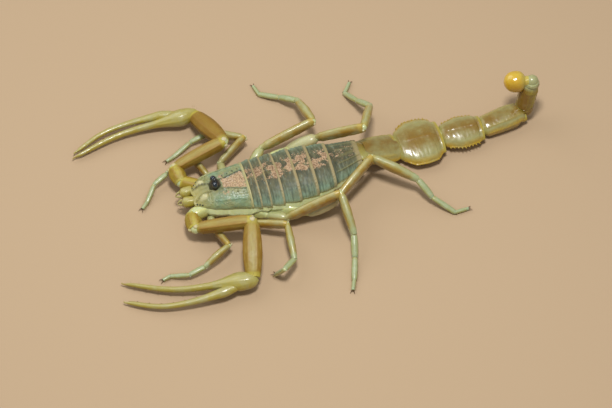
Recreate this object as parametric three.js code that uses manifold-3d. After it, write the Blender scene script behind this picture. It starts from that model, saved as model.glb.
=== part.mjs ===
// A disc-tailed desert scorpion (Apistobuthus pterygocercus) at life size, in millimetres, +Z up.
// The head points along -X and the animal's right side is +Y. It rests on its eight feet and its tail.
import * as THREE from 'three';
import { mergeVertices } from 'three/addons/utils/BufferGeometryUtils.js';
import Module from 'manifold-3d';

const wasm = await Module();
wasm.setup();

// ---- Driving dimensions -------------------------------------------------------------------------

const gap = 0.3; // clear joint between two plates
const overrun = 1.6; // how far a plate is drawn past its joint before it is parted there

const carapaceLength = 11.2;
const tergiteLengths = [1.9, 2.0, 2.7, 3.6, 3.8, 4.1, 6.9];
const trunkLength = tergiteLengths.reduce((sum, length) => sum + length, 0);
const midlineLow = -0.3; // the midline's y where the body is straightest
const straightestX = 9;
const headBend = 0.003; // sideways bend of the midline, per mm squared
const tailBend = 0.0085;

// Trunk outline along X: [x, half width, top, underside]
const carapaceOutline = [
  [-carapaceLength, 2.5, 4.9, 3.0],
  [-10.4, 3.2, 6.0, 2.6],
  [-8.0, 4.1, 6.7, 2.0],
  [-4.5, 5.0, 7.6, 1.6],
  [0.5, 5.7, 7.6, 1.4],
];
const mesosomaOutline = [
  [-0.5, 5.7, 7.6, 1.4],
  [4.0, 6.2, 7.9, 1.3],
  [10.0, 6.5, 8.1, 1.3],
  [14.5, 6.2, 7.8, 1.3],
  [19.0, 5.1, 7.1, 1.5],
  [22.5, 3.9, 6.4, 2.0],
  [trunkLength + 0.5, 2.6, 5.7, 2.8],
];
const plateEdgeHeight = 4.7; // where the back plates end and the soft flank begins

const eyeRadius = 0.62;
const eyeSpacing = 1.7;
const tubercle = { x: -6.2, z: 7.3, radii: [1.7, 1.45, 1.25] };
const eyePlace = { x: -6.4, z: 8.3 };

// Coxae: the hip ends that show under the flank, as [x, distance from the midline, z]
const coxaRoots = { 1: [-7.6, 1.6, 2.7], 2: [-5.4, 1.6, 2.4], 3: [-3.2, 1.7, 2.3], 4: [-1.6, 1.9, 2.3] };
const coxaEnds = { 1: [-8.3, 4.0, 2.2], 2: [-3.0, 5.4, 2.2], 3: [3.2, 6.7, 2.4], 4: [12.0, 8.2, 2.5] };
const coxaRadii = { 1: 1.0, 2: 1.15, 3: 1.25, 4: 1.3 };
const palpCoxaRoot = [-8.2, 2.6, 3.2];
const palpCoxaEnd = [-12.3, 4.3, 3.5];
const palpCoxaRadius = 1.3;

// The pair of combs under the belly
const combRoot = [0.95, 1.0, 0.55];
const combHeading = 38; // degrees that each comb slants out from the tail direction
const combTeeth = 6;
const combPitch = 1.2;
const combThickness = 0.5;
const combStalk = { radius: 0.5, length: 1.4 };

// Legs: trochanter, femur, patella, tibia, basitarsus, telotarsus
const legLengths = {
  1: [2.4, 7.1, 6.7, 3.6, 4.3, 1.4],
  2: [3.1, 8.5, 8.4, 4.1, 5.0, 1.4],
  3: [3.9, 12.6, 9.2, 4.7, 5.1, 2.1],
  4: [6.1, 11.5, 10.6, 4.8, 5.9, 2.7],
};
const legGirth = { 1: 0.82, 2: 0.9, 3: 1.05, 4: 1.05 };
const footHeight = 0.42; // centre of the foot over the floor
// Headings turn from +X towards +Y. The pitches of the last two segments follow from the floor.
const legStances = {
  l1: { headings: [-104, -70, -156, -167, 157, -151], pitches: [-3, 8, -12, -6] },
  r1: { headings: [31, 109, -151, -154, -130, -129], pitches: [-1, 2, -3, -8] },
  l2: { headings: [-59, -22, -97, -138, 112, -134], pitches: [9, 12, -8, 18] },
  r2: { headings: [98, 33, 152, -170, -156, -150], pitches: [0, 6, -8, -11] },
  l3: { headings: [-31, 0, -86, -104, -108, -113], pitches: [8, 24, -31, -25] },
  r3: { headings: [46, 7, 99, 133, 144, 100], pitches: [16, 13, -19, -24] },
  l4: { headings: [1, 35, -37, -61, -46, 9], pitches: [24, 12, -16, -27] },
  r4: { headings: [-5, -24, 65, 113, 108, 47], pitches: [25, 29, -28, -31] },
};

// Pincers: trochanter, femur, patella
const palpLengths = [3.9, 12.2, 12.4];
const palpStances = {
  l: { headings: [-93, -12, -102], pitches: [8, 12.5, -18.5], chelaHeading: 164.5 },
  r: { headings: [100, 7.5, 110], pitches: [8, 12.5, -18.5], chelaHeading: -175 },
};
const fingerOpening = { l: 8, r: -1 }; // degrees that the movable finger stands open
// Centre lines in the pincer's own plane: [along, towards the midline, drop]
const fixedFingerLine = [
  [-1.6, 0.1, -0.2], [2.5, -0.6, 0.1], [7.4, -1.2, 0.5], [16.8, -1.9, 1.3], [27.4, 0.1, 1.8],
];
const movableFingerLine = [[6.0, -2.8, 0.4], [12.3, -3.9, 0.9], [19.6, -3.9, 1.4], [26.8, -1.4, 1.8]];

// Tail: the five segments and the sting's bulb and point
const tailRoot = [trunkLength + 0.4, 2.0, 4.2];
const tailLengths = [8.1, 10.1, 9.1, 10.3, 10.2];
const tailHeadings = [4, 1, -1, 9, 40];
const tailPitches = [-16, 0, 0, 2, 80];
const stingReach = 3.7; // from the last joint to the middle of the bulb
const bulbRadius = 2.35;
const stingHeading = 171;
const stingPitch = -23;
const pointLength = 5.6; // from the middle of the bulb to the needle's tip
const pointHeading = 66;
const pointPitch = -66;

const colours = {
  carapace: 0x8fa27c,
  back: 0x5f7268,
  palp: 0xa08436,
  pincer: 0xaaa24c,
  thigh: 0xa78f48,
  shank: 0xa3a873,
  foot: 0x9cc093,
  tail: 0x9a8a3c,
  sting: 0xd0a214,
  eye: 0x0c1a22,
};

// ---- Shape helpers ------------------------------------------------------------------------------

const radians = THREE.MathUtils.degToRad;
const up = new THREE.Vector3(0, 0, 1);

// The unit vector with a heading about +Z and a pitch above the floor, both in degrees.
function direction(heading, pitch) {
  const level = Math.cos(radians(pitch));
  return new THREE.Vector3(
    level * Math.cos(radians(heading)),
    level * Math.sin(radians(heading)),
    Math.sin(radians(pitch)),
  );
}

// Reads column `column` of rows [t, a, b, ...] at t, easing smoothly from row to row.
function readRows(rows, t, column) {
  const next = rows.findIndex((row) => row[0] >= t);
  if (next === 0) return rows[0][column];
  if (next < 0) return rows[rows.length - 1][column];
  const from = rows[next - 1];
  const to = rows[next];
  const share = (t - from[0]) / (to[0] - from[0]);
  const eased = share * share * (3 - 2 * share);
  return THREE.MathUtils.lerp(from[column], to[column], 0.4 * share + 0.6 * eased);
}

function toSolid(geometry) {
  geometry.deleteAttribute('normal');
  geometry.deleteAttribute('uv');
  const merged = mergeVertices(geometry, 1e-4);
  return new wasm.Manifold(new wasm.Mesh({
    numProp: 3,
    vertProperties: new Float32Array(merged.attributes.position.array),
    triVerts: new Uint32Array(merged.index.array),
  }));
}

// A closed tube: a cylinder whose rings are laid along a curve. shape(t, c, s) gives the offsets
// across and above the centre line, where c and s are the cosine and sine round the ring.
function sweep(curve, sides, steps, shape) {
  const geometry = new THREE.CylinderGeometry(1, 1, 1, sides, steps);
  const place = geometry.attributes.position;
  const point = new THREE.Vector3();
  const across = new THREE.Vector3();
  const above = new THREE.Vector3();
  for (let i = 0; i < place.count; i += 1) {
    const t = THREE.MathUtils.clamp(place.getY(i) + 0.5, 0, 1);
    curve.getPoint(t, point);
    const along = curve.getTangent(t);
    across.crossVectors(up, along).normalize();
    above.crossVectors(along, across);
    const [sideways, upward] = shape(t, place.getZ(i), place.getX(i));
    point.addScaledVector(across, sideways).addScaledVector(above, upward);
    place.setXYZ(i, point.x, point.y, point.z);
  }
  return toSolid(geometry);
}

// A straight limb segment from joint to joint, drawn past both ends. rows: [t, half width, half height]
function limb(from, to, rows, sides = 8, steps = 5) {
  const along = to.clone().sub(from).normalize();
  const length = from.distanceTo(to);
  const curve = new THREE.LineCurve3(
    from.clone().addScaledVector(along, -overrun),
    to.clone().addScaledVector(along, overrun),
  );
  return sweep(curve, sides, steps, (t, c, s) => {
    const share = (t * (length + 2 * overrun) - overrun) / length;
    return [c * readRows(rows, share, 1), s * readRows(rows, share, 2)];
  });
}

// Keeps the half of a solid that lies ahead of a plane, or behind it when the normal is turned.
function keepAhead(solid, point, normal) {
  return solid.trimByPlane(normal.toArray(), normal.dot(point) + gap / 2);
}

// Parts two neighbours at their joint with a thin cut along the bisector of their directions.
function partAt(joint, before, after, directionBefore, directionAfter) {
  const normal = directionBefore.clone().add(directionAfter).normalize();
  return [
    keepAhead(before, joint, normal.clone().negate()),
    keepAhead(after, joint, normal),
  ];
}

function onFloor(solid) {
  return solid.trimByPlane([0, 0, 1], 0);
}

function ball(centre, radii, across, rings) {
  const geometry = new THREE.SphereGeometry(1, across, rings);
  geometry.scale(...radii);
  geometry.translate(...centre);
  return toSolid(geometry);
}

// ---- Body frame ---------------------------------------------------------------------------------

function midline(x) {
  const bend = x < straightestX ? headBend : tailBend;
  return midlineLow + bend * (x - straightestX) ** 2;
}

const sideSign = { l: -1, r: 1 };

function besideMidline([x, spread, z], side) {
  return new THREE.Vector3(x, midline(x) + sideSign[side] * spread, z);
}

// A length of the trunk: domed above the plates' edge, flatter below it.
function trunk(outline, sides, steps) {
  const first = outline[0][0];
  const last = outline[outline.length - 1][0];
  const spine = [first, -6, 0, straightestX, 18, last]
    .filter((x, i, list) => i === 0 || (x > list[i - 1] && x < last) || i === list.length - 1)
    .map((x) => new THREE.Vector3(x, midline(x), plateEdgeHeight));
  const curve = new THREE.CatmullRomCurve3(spine.filter((point) => point.x >= first));
  return sweep(curve, sides, steps, (t, c, s) => {
    const x = curve.getPoint(t).x;
    const halfWidth = readRows(outline, x, 1);
    const rise = readRows(outline, x, 2) - plateEdgeHeight;
    const fall = plateEdgeHeight - readRows(outline, x, 3);
    const sideways = Math.sign(c) * halfWidth * Math.abs(c) ** 0.8;
    return [sideways, s > 0 ? rise * s : -fall * Math.abs(s) ** 0.75];
  });
}

// ---- Trunk --------------------------------------------------------------------------------------

const backwards = new THREE.Vector3(1, 0, 0);

function coxa(root, end, radius, grow = 0) {
  const reach = end.clone().sub(root);
  const curve = new THREE.LineCurve3(root, end.clone().addScaledVector(reach.normalize(), overrun));
  return sweep(curve, 6, 1, (t, c, s) => [c * (radius + grow), s * (radius + grow)]);
}

function legCoxae(side, grow = 0) {
  return [1, 2, 3, 4].map((pair) => coxa(
    besideMidline(coxaRoots[pair], side),
    besideMidline(coxaEnds[pair], side),
    coxaRadii[pair],
    grow,
  ));
}

function joinAll(solids) {
  return solids.reduce((whole, solid) => whole.add(solid));
}

const parts = {};
const finishes = {};

function addPart(name, solid, colour, roughness = 0.35) {
  parts[name] = solid;
  finishes[name] = { color: colour, roughness, metalness: 0 };
}

// ---- Limbs --------------------------------------------------------------------------------------

// The joints of a chain of segments: the first point, then the end of each length.
function followChain(start, lengths, headings, pitches) {
  const joints = [start];
  const directions = lengths.map((length, i) => {
    const from = joints[i];
    const level = pitches[i] ?? -THREE.MathUtils.radToDeg(Math.asin((from.z - footHeight) / length));
    const along = direction(headings[i], level);
    joints.push(from.clone().addScaledVector(along, length));
    return along;
  });
  return { joints, directions };
}

const legShapes = {
  trochanter: [[0, 0.8, 0.85], [0.5, 0.95, 1.0], [1, 0.7, 0.8]],
  femur: [[0, 0.65, 0.75], [0.3, 0.72, 1.1], [0.8, 0.7, 1.05], [1, 0.65, 0.85]],
  patella: [[0, 0.6, 0.7], [0.3, 0.95, 1.25], [0.65, 0.9, 1.2], [1, 0.6, 0.72]],
  tibia: [[0, 0.6, 0.62], [0.5, 0.7, 0.75], [1, 0.52, 0.55]],
  basitarsus: [[0, 0.5, 0.5], [0.5, 0.62, 0.55], [1, 0.48, 0.45]],
  telotarsus: [[0, 0.46, 0.56], [0.6, 0.46, 0.56], [1, 0.36, 0.54]],
};

function girth(rows, scale) {
  return rows.map(([t, width, height]) => [t, width * scale, height * scale]);
}

// Two short hooked claws that fork from the foot.
function claws(tip, along) {
  const heading = THREE.MathUtils.radToDeg(Math.atan2(along.y, along.x));
  return joinAll([-24, 24].map((splay) => {
    const out = direction(heading + splay, -6);
    const curve = new THREE.LineCurve3(
      tip.clone().addScaledVector(along, -0.5),
      tip.clone().addScaledVector(out, 0.7),
    );
    return sweep(curve, 4, 1, (t, c, s) => [c * (0.28 - 0.12 * t), s * (0.3 - 0.12 * t)]);
  }));
}

function makeLeg(side, pair) {
  const id = `${side}${pair}`;
  const stance = legStances[id];
  const root = besideMidline(coxaRoots[pair], side);
  const hip = besideMidline(coxaEnds[pair], side);
  const pitches = [...stance.pitches, undefined, 0];
  const { joints, directions } = followChain(hip, legLengths[pair], stance.headings, pitches);
  const names = ['trochanter', 'femur', 'patella', 'tibia', 'basitarsus', 'telotarsus'];
  const pieces = {};
  names.forEach((name, i) => {
    const rows = girth(legShapes[name], name === 'telotarsus' ? 1 : legGirth[pair]);
    const long = name === 'patella' || name === 'femur';
    pieces[name] = limb(joints[i], joints[i + 1], rows, long ? 8 : 6, long ? 4 : 2);
  });
  const hipDirection = hip.clone().sub(root).normalize();
  const hipNormal = hipDirection.clone().add(directions[0]).normalize();
  pieces.trochanter = keepAhead(pieces.trochanter, hip, hipNormal);
  // The trochanter and the femur are one piece, so they meet with no gap at their own joint.
  const bend = directions[0].clone().add(directions[1]).normalize();
  const cut = bend.dot(joints[1]);
  const thigh = pieces.trochanter.trimByPlane(bend.clone().negate().toArray(), -cut - 0.01)
    .add(pieces.femur.trimByPlane(bend.toArray(), cut - 0.01));
  const [femur, patellaStart] = partAt(joints[2], thigh, pieces.patella, directions[1], directions[2]);
  const [patella, tibiaStart] = partAt(joints[3], patellaStart, pieces.tibia, directions[2], directions[3]);
  const [tibia, footStart] = partAt(joints[4], tibiaStart, pieces.basitarsus, directions[3], directions[4]);
  const fold = directions[4].clone().add(directions[5]).normalize();
  const foldAt = fold.dot(joints[5]);
  const toe = pieces.telotarsus.trimByPlane(fold.toArray(), foldAt - 0.01)
    .trimByPlane(directions[5].clone().negate().toArray(), -directions[5].dot(joints[6]));
  const foot = footStart.trimByPlane(fold.clone().negate().toArray(), -foldAt - 0.01)
    .add(toe)
    .add(claws(joints[6], directions[5]));
  addPart(`leg_${id}_femur`, onFloor(femur), colours.thigh);
  addPart(`leg_${id}_patella`, onFloor(patella), colours.shank);
  addPart(`leg_${id}_tibia`, onFloor(tibia), colours.foot);
  addPart(`leg_${id}_tarsus`, onFloor(foot), colours.foot);
  return { hip, hipNormal };
}

// ---- Legs first, because each coxa is parted from its own leg -----------------------------------

const hipCuts = {};
for (const side of ['l', 'r']) {
  for (const pair of [1, 2, 3, 4]) {
    hipCuts[`${side}${pair}`] = makeLeg(side, pair);
  }
}

// ---- Pincers ------------------------------------------------------------------------------------

const palpShapes = {
  trochanter: [[0, 1.3, 1.3], [0.5, 1.75, 1.7], [1, 1.3, 1.3]],
  femur: [[0, 1.0, 1.0], [0.25, 1.3, 1.2], [0.8, 1.4, 1.3], [1, 1.1, 1.1]],
  patella: [[0, 1.0, 1.0], [0.2, 1.75, 1.35], [0.55, 2.05, 1.5], [0.85, 1.75, 1.5], [1, 1.1, 1.1]],
};
const handShape = [
  [0, 1.0, 1.0], [0.1, 1.45, 1.4], [0.24, 2.05, 1.85], [0.4, 1.35, 1.3], [0.5, 0.8, 0.85],
  [0.75, 0.62, 0.68], [0.95, 0.45, 0.5], [1, 0.25, 0.3],
];
const movableShape = [[0, 0.75, 0.9], [0.12, 0.8, 0.85], [0.5, 0.6, 0.65], [0.92, 0.45, 0.5], [1, 0.25, 0.3]];

function pincerCurve(points, wrist, heading, side, opening) {
  const along = direction(heading, 0);
  const inward = new THREE.Vector3(-along.y, along.x, 0).multiplyScalar(sideSign[side]);
  const [pivotAlong, pivotInward] = points[0];
  const turn = radians(opening);
  return new THREE.CatmullRomCurve3(points.map(([forward, inner, drop]) => {
    const dx = forward - pivotAlong;
    const dy = inner - pivotInward;
    const place = wrist.clone();
    place.addScaledVector(along, pivotAlong + dx * Math.cos(turn) + dy * Math.sin(turn));
    place.addScaledVector(inward, pivotInward + dy * Math.cos(turn) - dx * Math.sin(turn));
    place.z -= drop;
    return place;
  }));
}

function makePalp(side) {
  const stance = palpStances[side];
  const root = besideMidline(palpCoxaRoot, side);
  const hip = besideMidline(palpCoxaEnd, side);
  const { joints, directions } = followChain(hip, palpLengths, stance.headings, stance.pitches);
  const hipNormal = hip.clone().sub(root).normalize().add(directions[0]).normalize();
  const pieces = ['trochanter', 'femur', 'patella'].map((name, i) => (
    limb(joints[i], joints[i + 1], palpShapes[name], 8, name === 'trochanter' ? 3 : 5)
  ));
  const wrist = joints[3];
  const chela = direction(stance.chelaHeading, 0);
  const fixedLine = pincerCurve(fixedFingerLine, wrist, stance.chelaHeading, side, 0);
  const movableLine = pincerCurve(movableFingerLine, wrist, stance.chelaHeading, side, fingerOpening[side]);
  const tube = (rows, grow) => (t, c, s) => [
    c * (readRows(rows, t, 1) + grow),
    s * (readRows(rows, t, 2) + grow),
  ];
  const finger = sweep(movableLine, 6, 9, tube(movableShape, 0));
  const socket = sweep(movableLine, 6, 9, tube(movableShape, gap));
  const hand = sweep(fixedLine, 8, 13, tube(handShape, 0)).subtract(socket);
  const trochanterStart = keepAhead(pieces[0], hip, hipNormal);
  const [first, second, third] = directions;
  const [trochanter, femurStart] = partAt(joints[1], trochanterStart, pieces[1], first, second);
  const [femur, patellaStart] = partAt(joints[2], femurStart, pieces[2], second, third);
  const [patella, handStart] = partAt(wrist, patellaStart, hand, third, chela);
  addPart(`pedipalp_${side}_trochanter`, trochanter, colours.palp);
  addPart(`pedipalp_${side}_femur`, femur, colours.palp);
  addPart(`pedipalp_${side}_patella`, patella, colours.palp);
  addPart(`pedipalp_${side}_hand`, onFloor(handStart), colours.pincer);
  addPart(`pedipalp_${side}_finger`, onFloor(finger), colours.pincer);
  return { hip, hipNormal };
}

const palpCuts = { l: makePalp('l'), r: makePalp('r') };

// ---- Prosoma, jaws and eyes ---------------------------------------------------------------------

function makeProsoma() {
  const shell = trunk(carapaceOutline, 14, 6);
  const mound = ball([tubercle.x, midline(tubercle.x), tubercle.z], tubercle.radii, 8, 6);
  const solids = [keepAhead(shell, new THREE.Vector3(), backwards.clone().negate()), mound];
  for (const side of ['l', 'r']) {
    legCoxae(side).forEach((solid, i) => {
      const { hip, hipNormal } = hipCuts[`${side}${i + 1}`];
      solids.push(keepAhead(solid, hip, hipNormal.clone().negate()));
    });
    const { hip, hipNormal } = palpCuts[side];
    const root = besideMidline(palpCoxaRoot, side);
    const end = besideMidline(palpCoxaEnd, side);
    solids.push(keepAhead(coxa(root, end, palpCoxaRadius), hip, hipNormal.clone().negate()));
  }
  let prosoma = joinAll(solids);
  for (const side of ['l', 'r']) {
    const centre = besideMidline([eyePlace.x, eyeSpacing / 2, eyePlace.z], side).toArray();
    const socket = eyeRadius + gap * 0.7;
    prosoma = prosoma.subtract(ball(centre, [socket, socket, socket], 8, 6));
    addPart(`eye_median_${side}`, ball(centre, [eyeRadius, eyeRadius, eyeRadius], 8, 6), colours.eye, 0.08);
  }
  addPart('prosoma', prosoma, colours.carapace);
}

const cheliceraShape = [[0, 0.95, 0.95], [0.35, 1.15, 1.2], [0.65, 1.0, 1.05], [1, 0.3, 0.4]];

function makeChelicera(side) {
  const line = [[-carapaceLength - gap, 1.25, 4.1], [-12.6, 1.4, 4.2], [-14.4, 0.95, 3.7]]
    .map((place) => besideMidline(place, side));
  const solid = sweep(new THREE.CatmullRomCurve3(line), 8, 6, (t, c, s) => [
    c * readRows(cheliceraShape, t, 1),
    s * readRows(cheliceraShape, t, 2),
  ]);
  addPart(`chelicera_${side}`, solid, colours.pincer);
}

makeProsoma();
makeChelicera('l');
makeChelicera('r');

// ---- Mesosoma: seven rings, parted square to the body -------------------------------------------

// One comb, folded back under the first rings: a flat bar with teeth along its rear edge, on a stalk.
function makeComb(side) {
  const root = besideMidline(combRoot, side);
  const along = direction(sideSign[side] * combHeading, 0);
  const rear = direction(sideSign[side] * (combHeading - 90), 0);
  const corner = (forward, back) => {
    const point = root.clone().addScaledVector(along, forward).addScaledVector(rear, back);
    return new THREE.Vector2(point.x, point.y);
  };
  const corners = [corner(-0.5, -0.6), corner(-0.5, 0.3)];
  for (let i = 0; i < combTeeth; i += 1) {
    corners.push(corner((i + 0.2) * combPitch, 1.2));
    corners.push(corner((i + 0.7) * combPitch, 1.2));
    corners.push(corner((i + 1) * combPitch, 0.3));
  }
  corners.push(corner(combTeeth * combPitch, -0.2));
  const flat = new THREE.Shape(corners);
  const bar = new THREE.ExtrudeGeometry(flat, { depth: combThickness, bevelEnabled: false });
  bar.translate(0, 0, root.z - combThickness / 2);
  const stalk = new THREE.CylinderGeometry(combStalk.radius, combStalk.radius, combStalk.length, 6);
  stalk.rotateX(radians(90));
  stalk.translate(root.x, root.y, root.z + combStalk.length / 2);
  return toSolid(bar).add(toSolid(stalk));
}

function makeMesosoma() {
  const whole = trunk(mesosomaOutline, 14, 14);
  const hips = joinAll(['l', 'r'].flatMap((side) => legCoxae(side, gap).slice(2)));
  let from = 0;
  tergiteLengths.forEach((length, i) => {
    const to = from + length;
    let ring = keepAhead(whole, new THREE.Vector3(from, 0, 0), backwards);
    ring = keepAhead(ring, new THREE.Vector3(to, 0, 0), backwards.clone().negate());
    ring = ring.subtract(hips);
    if (i === 0) {
      ring = joinAll([ring, makeComb('l'), makeComb('r')]);
    }
    addPart(`mesosoma_${i + 1}`, ring, colours.back, 0.5);
    from = to;
  });
}

makeMesosoma();

// ---- Tail ---------------------------------------------------------------------------------------

// Outlines of the five tail segments: [t, half width, half height]
const tailShapes = [
  [[0, 2.3, 1.9], [0.2, 3.0, 2.1], [0.75, 3.6, 2.2], [1, 2.6, 1.7]],
  [[0, 1.9, 1.5], [0.12, 3.6, 1.9], [0.45, 5.7, 2.15], [0.75, 5.5, 2.15], [0.95, 3.4, 1.9], [1, 2.4, 1.6]],
  [[0, 1.9, 1.5], [0.15, 3.0, 1.9], [0.55, 3.9, 2.1], [0.88, 3.4, 2.1], [1, 2.1, 1.7]],
  [[0, 1.9, 1.6], [0.15, 2.4, 1.9], [0.6, 2.7, 2.1], [0.9, 2.5, 2.1], [1, 1.9, 1.8]],
  [[0, 1.6, 1.6], [0.2, 2.0, 1.9], [0.6, 2.1, 1.95], [0.9, 1.8, 1.7], [1, 1.3, 1.3]],
];
const bulbShape = [[0, 0.95], [0.12, 1.1], [0.3, 2.0], [0.6, bulbRadius], [0.85, 1.75], [1, 0.5]];
const pointShape = [[0, 1.2], [0.35, 1.4], [0.6, 0.72], [1, 0.2]];
const tailSteps = [4, 12, 10, 5, 5];
const rimTeeth = { 1: 0.22, 2: 0.3 }; // depth of the notched rim on the disc and on the segment after it

function makeTail() {
  const start = new THREE.Vector3(...tailRoot);
  const { joints, directions } = followChain(start, tailLengths, tailHeadings, tailPitches);
  let solids = tailShapes.map((rows, i) => {
    const length = tailLengths[i];
    const curve = new THREE.LineCurve3(
      joints[i].clone().addScaledVector(directions[i], -overrun / 2),
      joints[i + 1].clone().addScaledVector(directions[i], overrun / 2),
    );
    const steps = tailSteps[i];
    return sweep(curve, 10, steps, (t, c, s) => {
      const share = (t * (length + overrun) - overrun / 2) / length;
      const notch = Math.round(t * steps) % 2 === 0 ? rimTeeth[i] ?? 0 : 0;
      const rim = Math.abs(c) > 0.8 && share > 0.1 && share < 0.95 ? notch : 0;
      return [
        Math.sign(c) * Math.abs(c) ** 0.85 * (readRows(rows, share, 1) - rim),
        Math.sign(s) * Math.abs(s) ** 0.85 * readRows(rows, share, 2),
      ];
    });
  });
  solids[0] = keepAhead(solids[0], new THREE.Vector3(trunkLength, 0, 0), backwards);
  for (let i = 0; i < 4; i += 1) {
    const [before, after] = [directions[i], directions[i + 1]];
    [solids[i], solids[i + 1]] = partAt(joints[i + 1], solids[i], solids[i + 1], before, after);
  }
  const towards = direction(stingHeading, stingPitch);
  const needle = direction(pointHeading, pointPitch);
  const middle = joints[5].clone().addScaledVector(towards, stingReach);
  const bulbLine = new THREE.LineCurve3(
    joints[5].clone().addScaledVector(towards, -0.4),
    middle.clone().addScaledVector(towards, bulbRadius),
  );
  const bulb = sweep(bulbLine, 10, 7, (t, c, s) => {
    const radius = readRows(bulbShape, t, 1);
    return [c * radius, s * radius];
  });
  const pointLine = new THREE.QuadraticBezierCurve3(
    middle.clone().addScaledVector(towards, 0.5),
    middle.clone().addScaledVector(needle, pointLength * 0.6).addScaledVector(towards, 0.9),
    middle.clone().addScaledVector(needle, pointLength).addScaledVector(towards, -0.6),
  );
  const point = sweep(pointLine, 6, 5, (t, c, s) => {
    const radius = readRows(pointShape, t, 1);
    return [c * radius, s * radius];
  });
  const [last, bulbStart] = partAt(joints[5], solids[4], bulb, directions[4], towards);
  const sting = bulbStart.add(point);
  solids[4] = last;
  solids = solids.map(onFloor);
  solids.forEach((solid, i) => addPart(`metasoma_${i + 1}`, solid, colours.tail));
  addPart('telson', sting, colours.sting, 0.15);
}

makeTail();

// ---- Assembly -----------------------------------------------------------------------------------

function toMesh(name) {
  const { vertProperties, triVerts } = parts[name].getMesh();
  const geometry = new THREE.BufferGeometry();
  geometry.setAttribute('position', new THREE.BufferAttribute(new Float32Array(vertProperties), 3));
  geometry.setIndex(new THREE.BufferAttribute(new Uint32Array(triVerts), 1));
  geometry.computeVertexNormals();
  const mesh = new THREE.Mesh(geometry, new THREE.MeshStandardMaterial(finishes[name]));
  mesh.name = name;
  return mesh;
}

const scorpion = new THREE.Group();
Object.keys(parts).forEach((name) => scorpion.add(toMesh(name)));

// The origin is under the middle of the whole animal, on the floor.
const bounds = new THREE.Box3().setFromObject(scorpion);
const centre = bounds.getCenter(new THREE.Vector3());
scorpion.position.set(-centre.x, -centre.y, -bounds.min.z);

export default scorpion;
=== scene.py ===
import math
import random
import bmesh
import bpy
import numpy as np
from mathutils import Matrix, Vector, noise


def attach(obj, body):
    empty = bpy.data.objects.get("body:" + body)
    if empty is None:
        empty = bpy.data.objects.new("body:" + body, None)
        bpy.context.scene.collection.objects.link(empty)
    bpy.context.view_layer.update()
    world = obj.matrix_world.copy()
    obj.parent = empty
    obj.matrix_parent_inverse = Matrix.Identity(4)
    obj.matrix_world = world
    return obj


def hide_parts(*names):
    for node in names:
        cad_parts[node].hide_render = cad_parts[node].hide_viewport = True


# A disc-tailed desert scorpion at life size. Lengths are in millimetres until a mesh is made.
# The head points along -X, its right side is +Y, and the floor is at z = 0.
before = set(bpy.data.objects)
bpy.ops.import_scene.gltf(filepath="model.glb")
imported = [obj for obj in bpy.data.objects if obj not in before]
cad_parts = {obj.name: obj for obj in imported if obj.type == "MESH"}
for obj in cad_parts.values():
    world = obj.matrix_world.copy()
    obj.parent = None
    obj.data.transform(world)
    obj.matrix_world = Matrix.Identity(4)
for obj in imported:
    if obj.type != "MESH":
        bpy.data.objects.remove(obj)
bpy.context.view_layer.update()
mm = 0.001
zUp = np.array([0.0, 0.0, 1.0])
random.seed(41)


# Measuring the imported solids

def readNode(name):
    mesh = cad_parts[name].data
    mesh.calc_loop_triangles()
    points = np.empty(len(mesh.vertices) * 3)
    mesh.vertices.foreach_get("co", points)
    corners = np.empty(len(mesh.loop_triangles) * 3, np.int32)
    mesh.loop_triangles.foreach_get("vertices", corners)
    return points.reshape(-1, 3) / mm, corners.reshape(-1, 3)


solids = {name: readNode(name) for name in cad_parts}


def unit(vector):
    return vector / np.linalg.norm(vector)


def axesAlong(along):
    # Sideways and upward directions square to a limb.
    across = unit(np.cross(zUp, along))
    return across, np.cross(along, across)


def cutPoints(name, point, normal):
    # Where a solid's edges cross a plane.
    points, triangles = solids[name]
    height = ((points - point) @ normal)[triangles]
    corners = points[triangles]
    found = []
    for a, b in ((0, 1), (1, 2), (2, 0)):
        crosses = (height[:, a] > 0) != (height[:, b] > 0)
        share = height[crosses, a] / (height[crosses, a] - height[crosses, b])
        step = corners[crosses, b] - corners[crosses, a]
        found.append(corners[crosses, a] + share[:, None] * step)
    return np.concatenate(found)


def middleOf(points):
    return (points.min(0) + points.max(0)) / 2


def jointBetween(first, second, reach=0.9):
    # The middle of the two faces that two neighbouring solids turn to each other.
    a = np.unique(solids[first][0].round(3), axis=0)
    b = np.unique(solids[second][0].round(3), axis=0)
    gaps = np.linalg.norm(a[:, None] - b[None], axis=2)
    return middleOf(np.concatenate([a[gaps.min(1) < reach], b[gaps.min(0) < reach]]))


def tipOf(name, start, depth=0.25):
    # The middle of the points that lie furthest from a solid's start.
    points = solids[name][0]
    away = np.linalg.norm(points - start, axis=1)
    return middleOf(points[away > away.max() - depth])


def bendOf(name, start, end, low=0.08, high=0.7):
    # The knee inside one solid: the cut whose middle lies furthest off the straight line.
    along = unit(end - start)
    length = np.linalg.norm(end - start)
    best, bend = -1.0, start + along * length * 0.3
    for share in np.linspace(low, high, 32):
        centre = start + along * length * share
        cut = cutPoints(name, centre, along)
        if len(cut) < 3:
            continue
        middle = middleOf(cut)
        if np.linalg.norm(middle - centre) > best:
            best, bend = np.linalg.norm(middle - centre), middle
    return bend


def measureLimb(name, start, end, count=9, low=0.14, high=0.86):
    # Rows of [share, sideways middle, upward middle, half width, half height] along a solid.
    along = unit(end - start)
    across, above = axesAlong(along)
    rows = []
    for share in np.linspace(low, high, count):
        centre = start + (end - start) * share
        cut = cutPoints(name, centre, along) - centre
        if len(cut) < 3:
            continue
        flat = np.stack([cut @ across, cut @ above], axis=1)
        middle = middleOf(flat)
        half = (flat.max(0) - flat.min(0)) / 2
        rows.append([share, *middle, *half])
    return np.array(rows)


# Meshes: a pile gathers shells, beads and spikes, with what the materials read at each point

def newPile():
    pile = {key: [] for key in ("points", "faces", "place", "lie", "keel", "pale", "dust")}
    return dict(pile, count=0)


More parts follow.
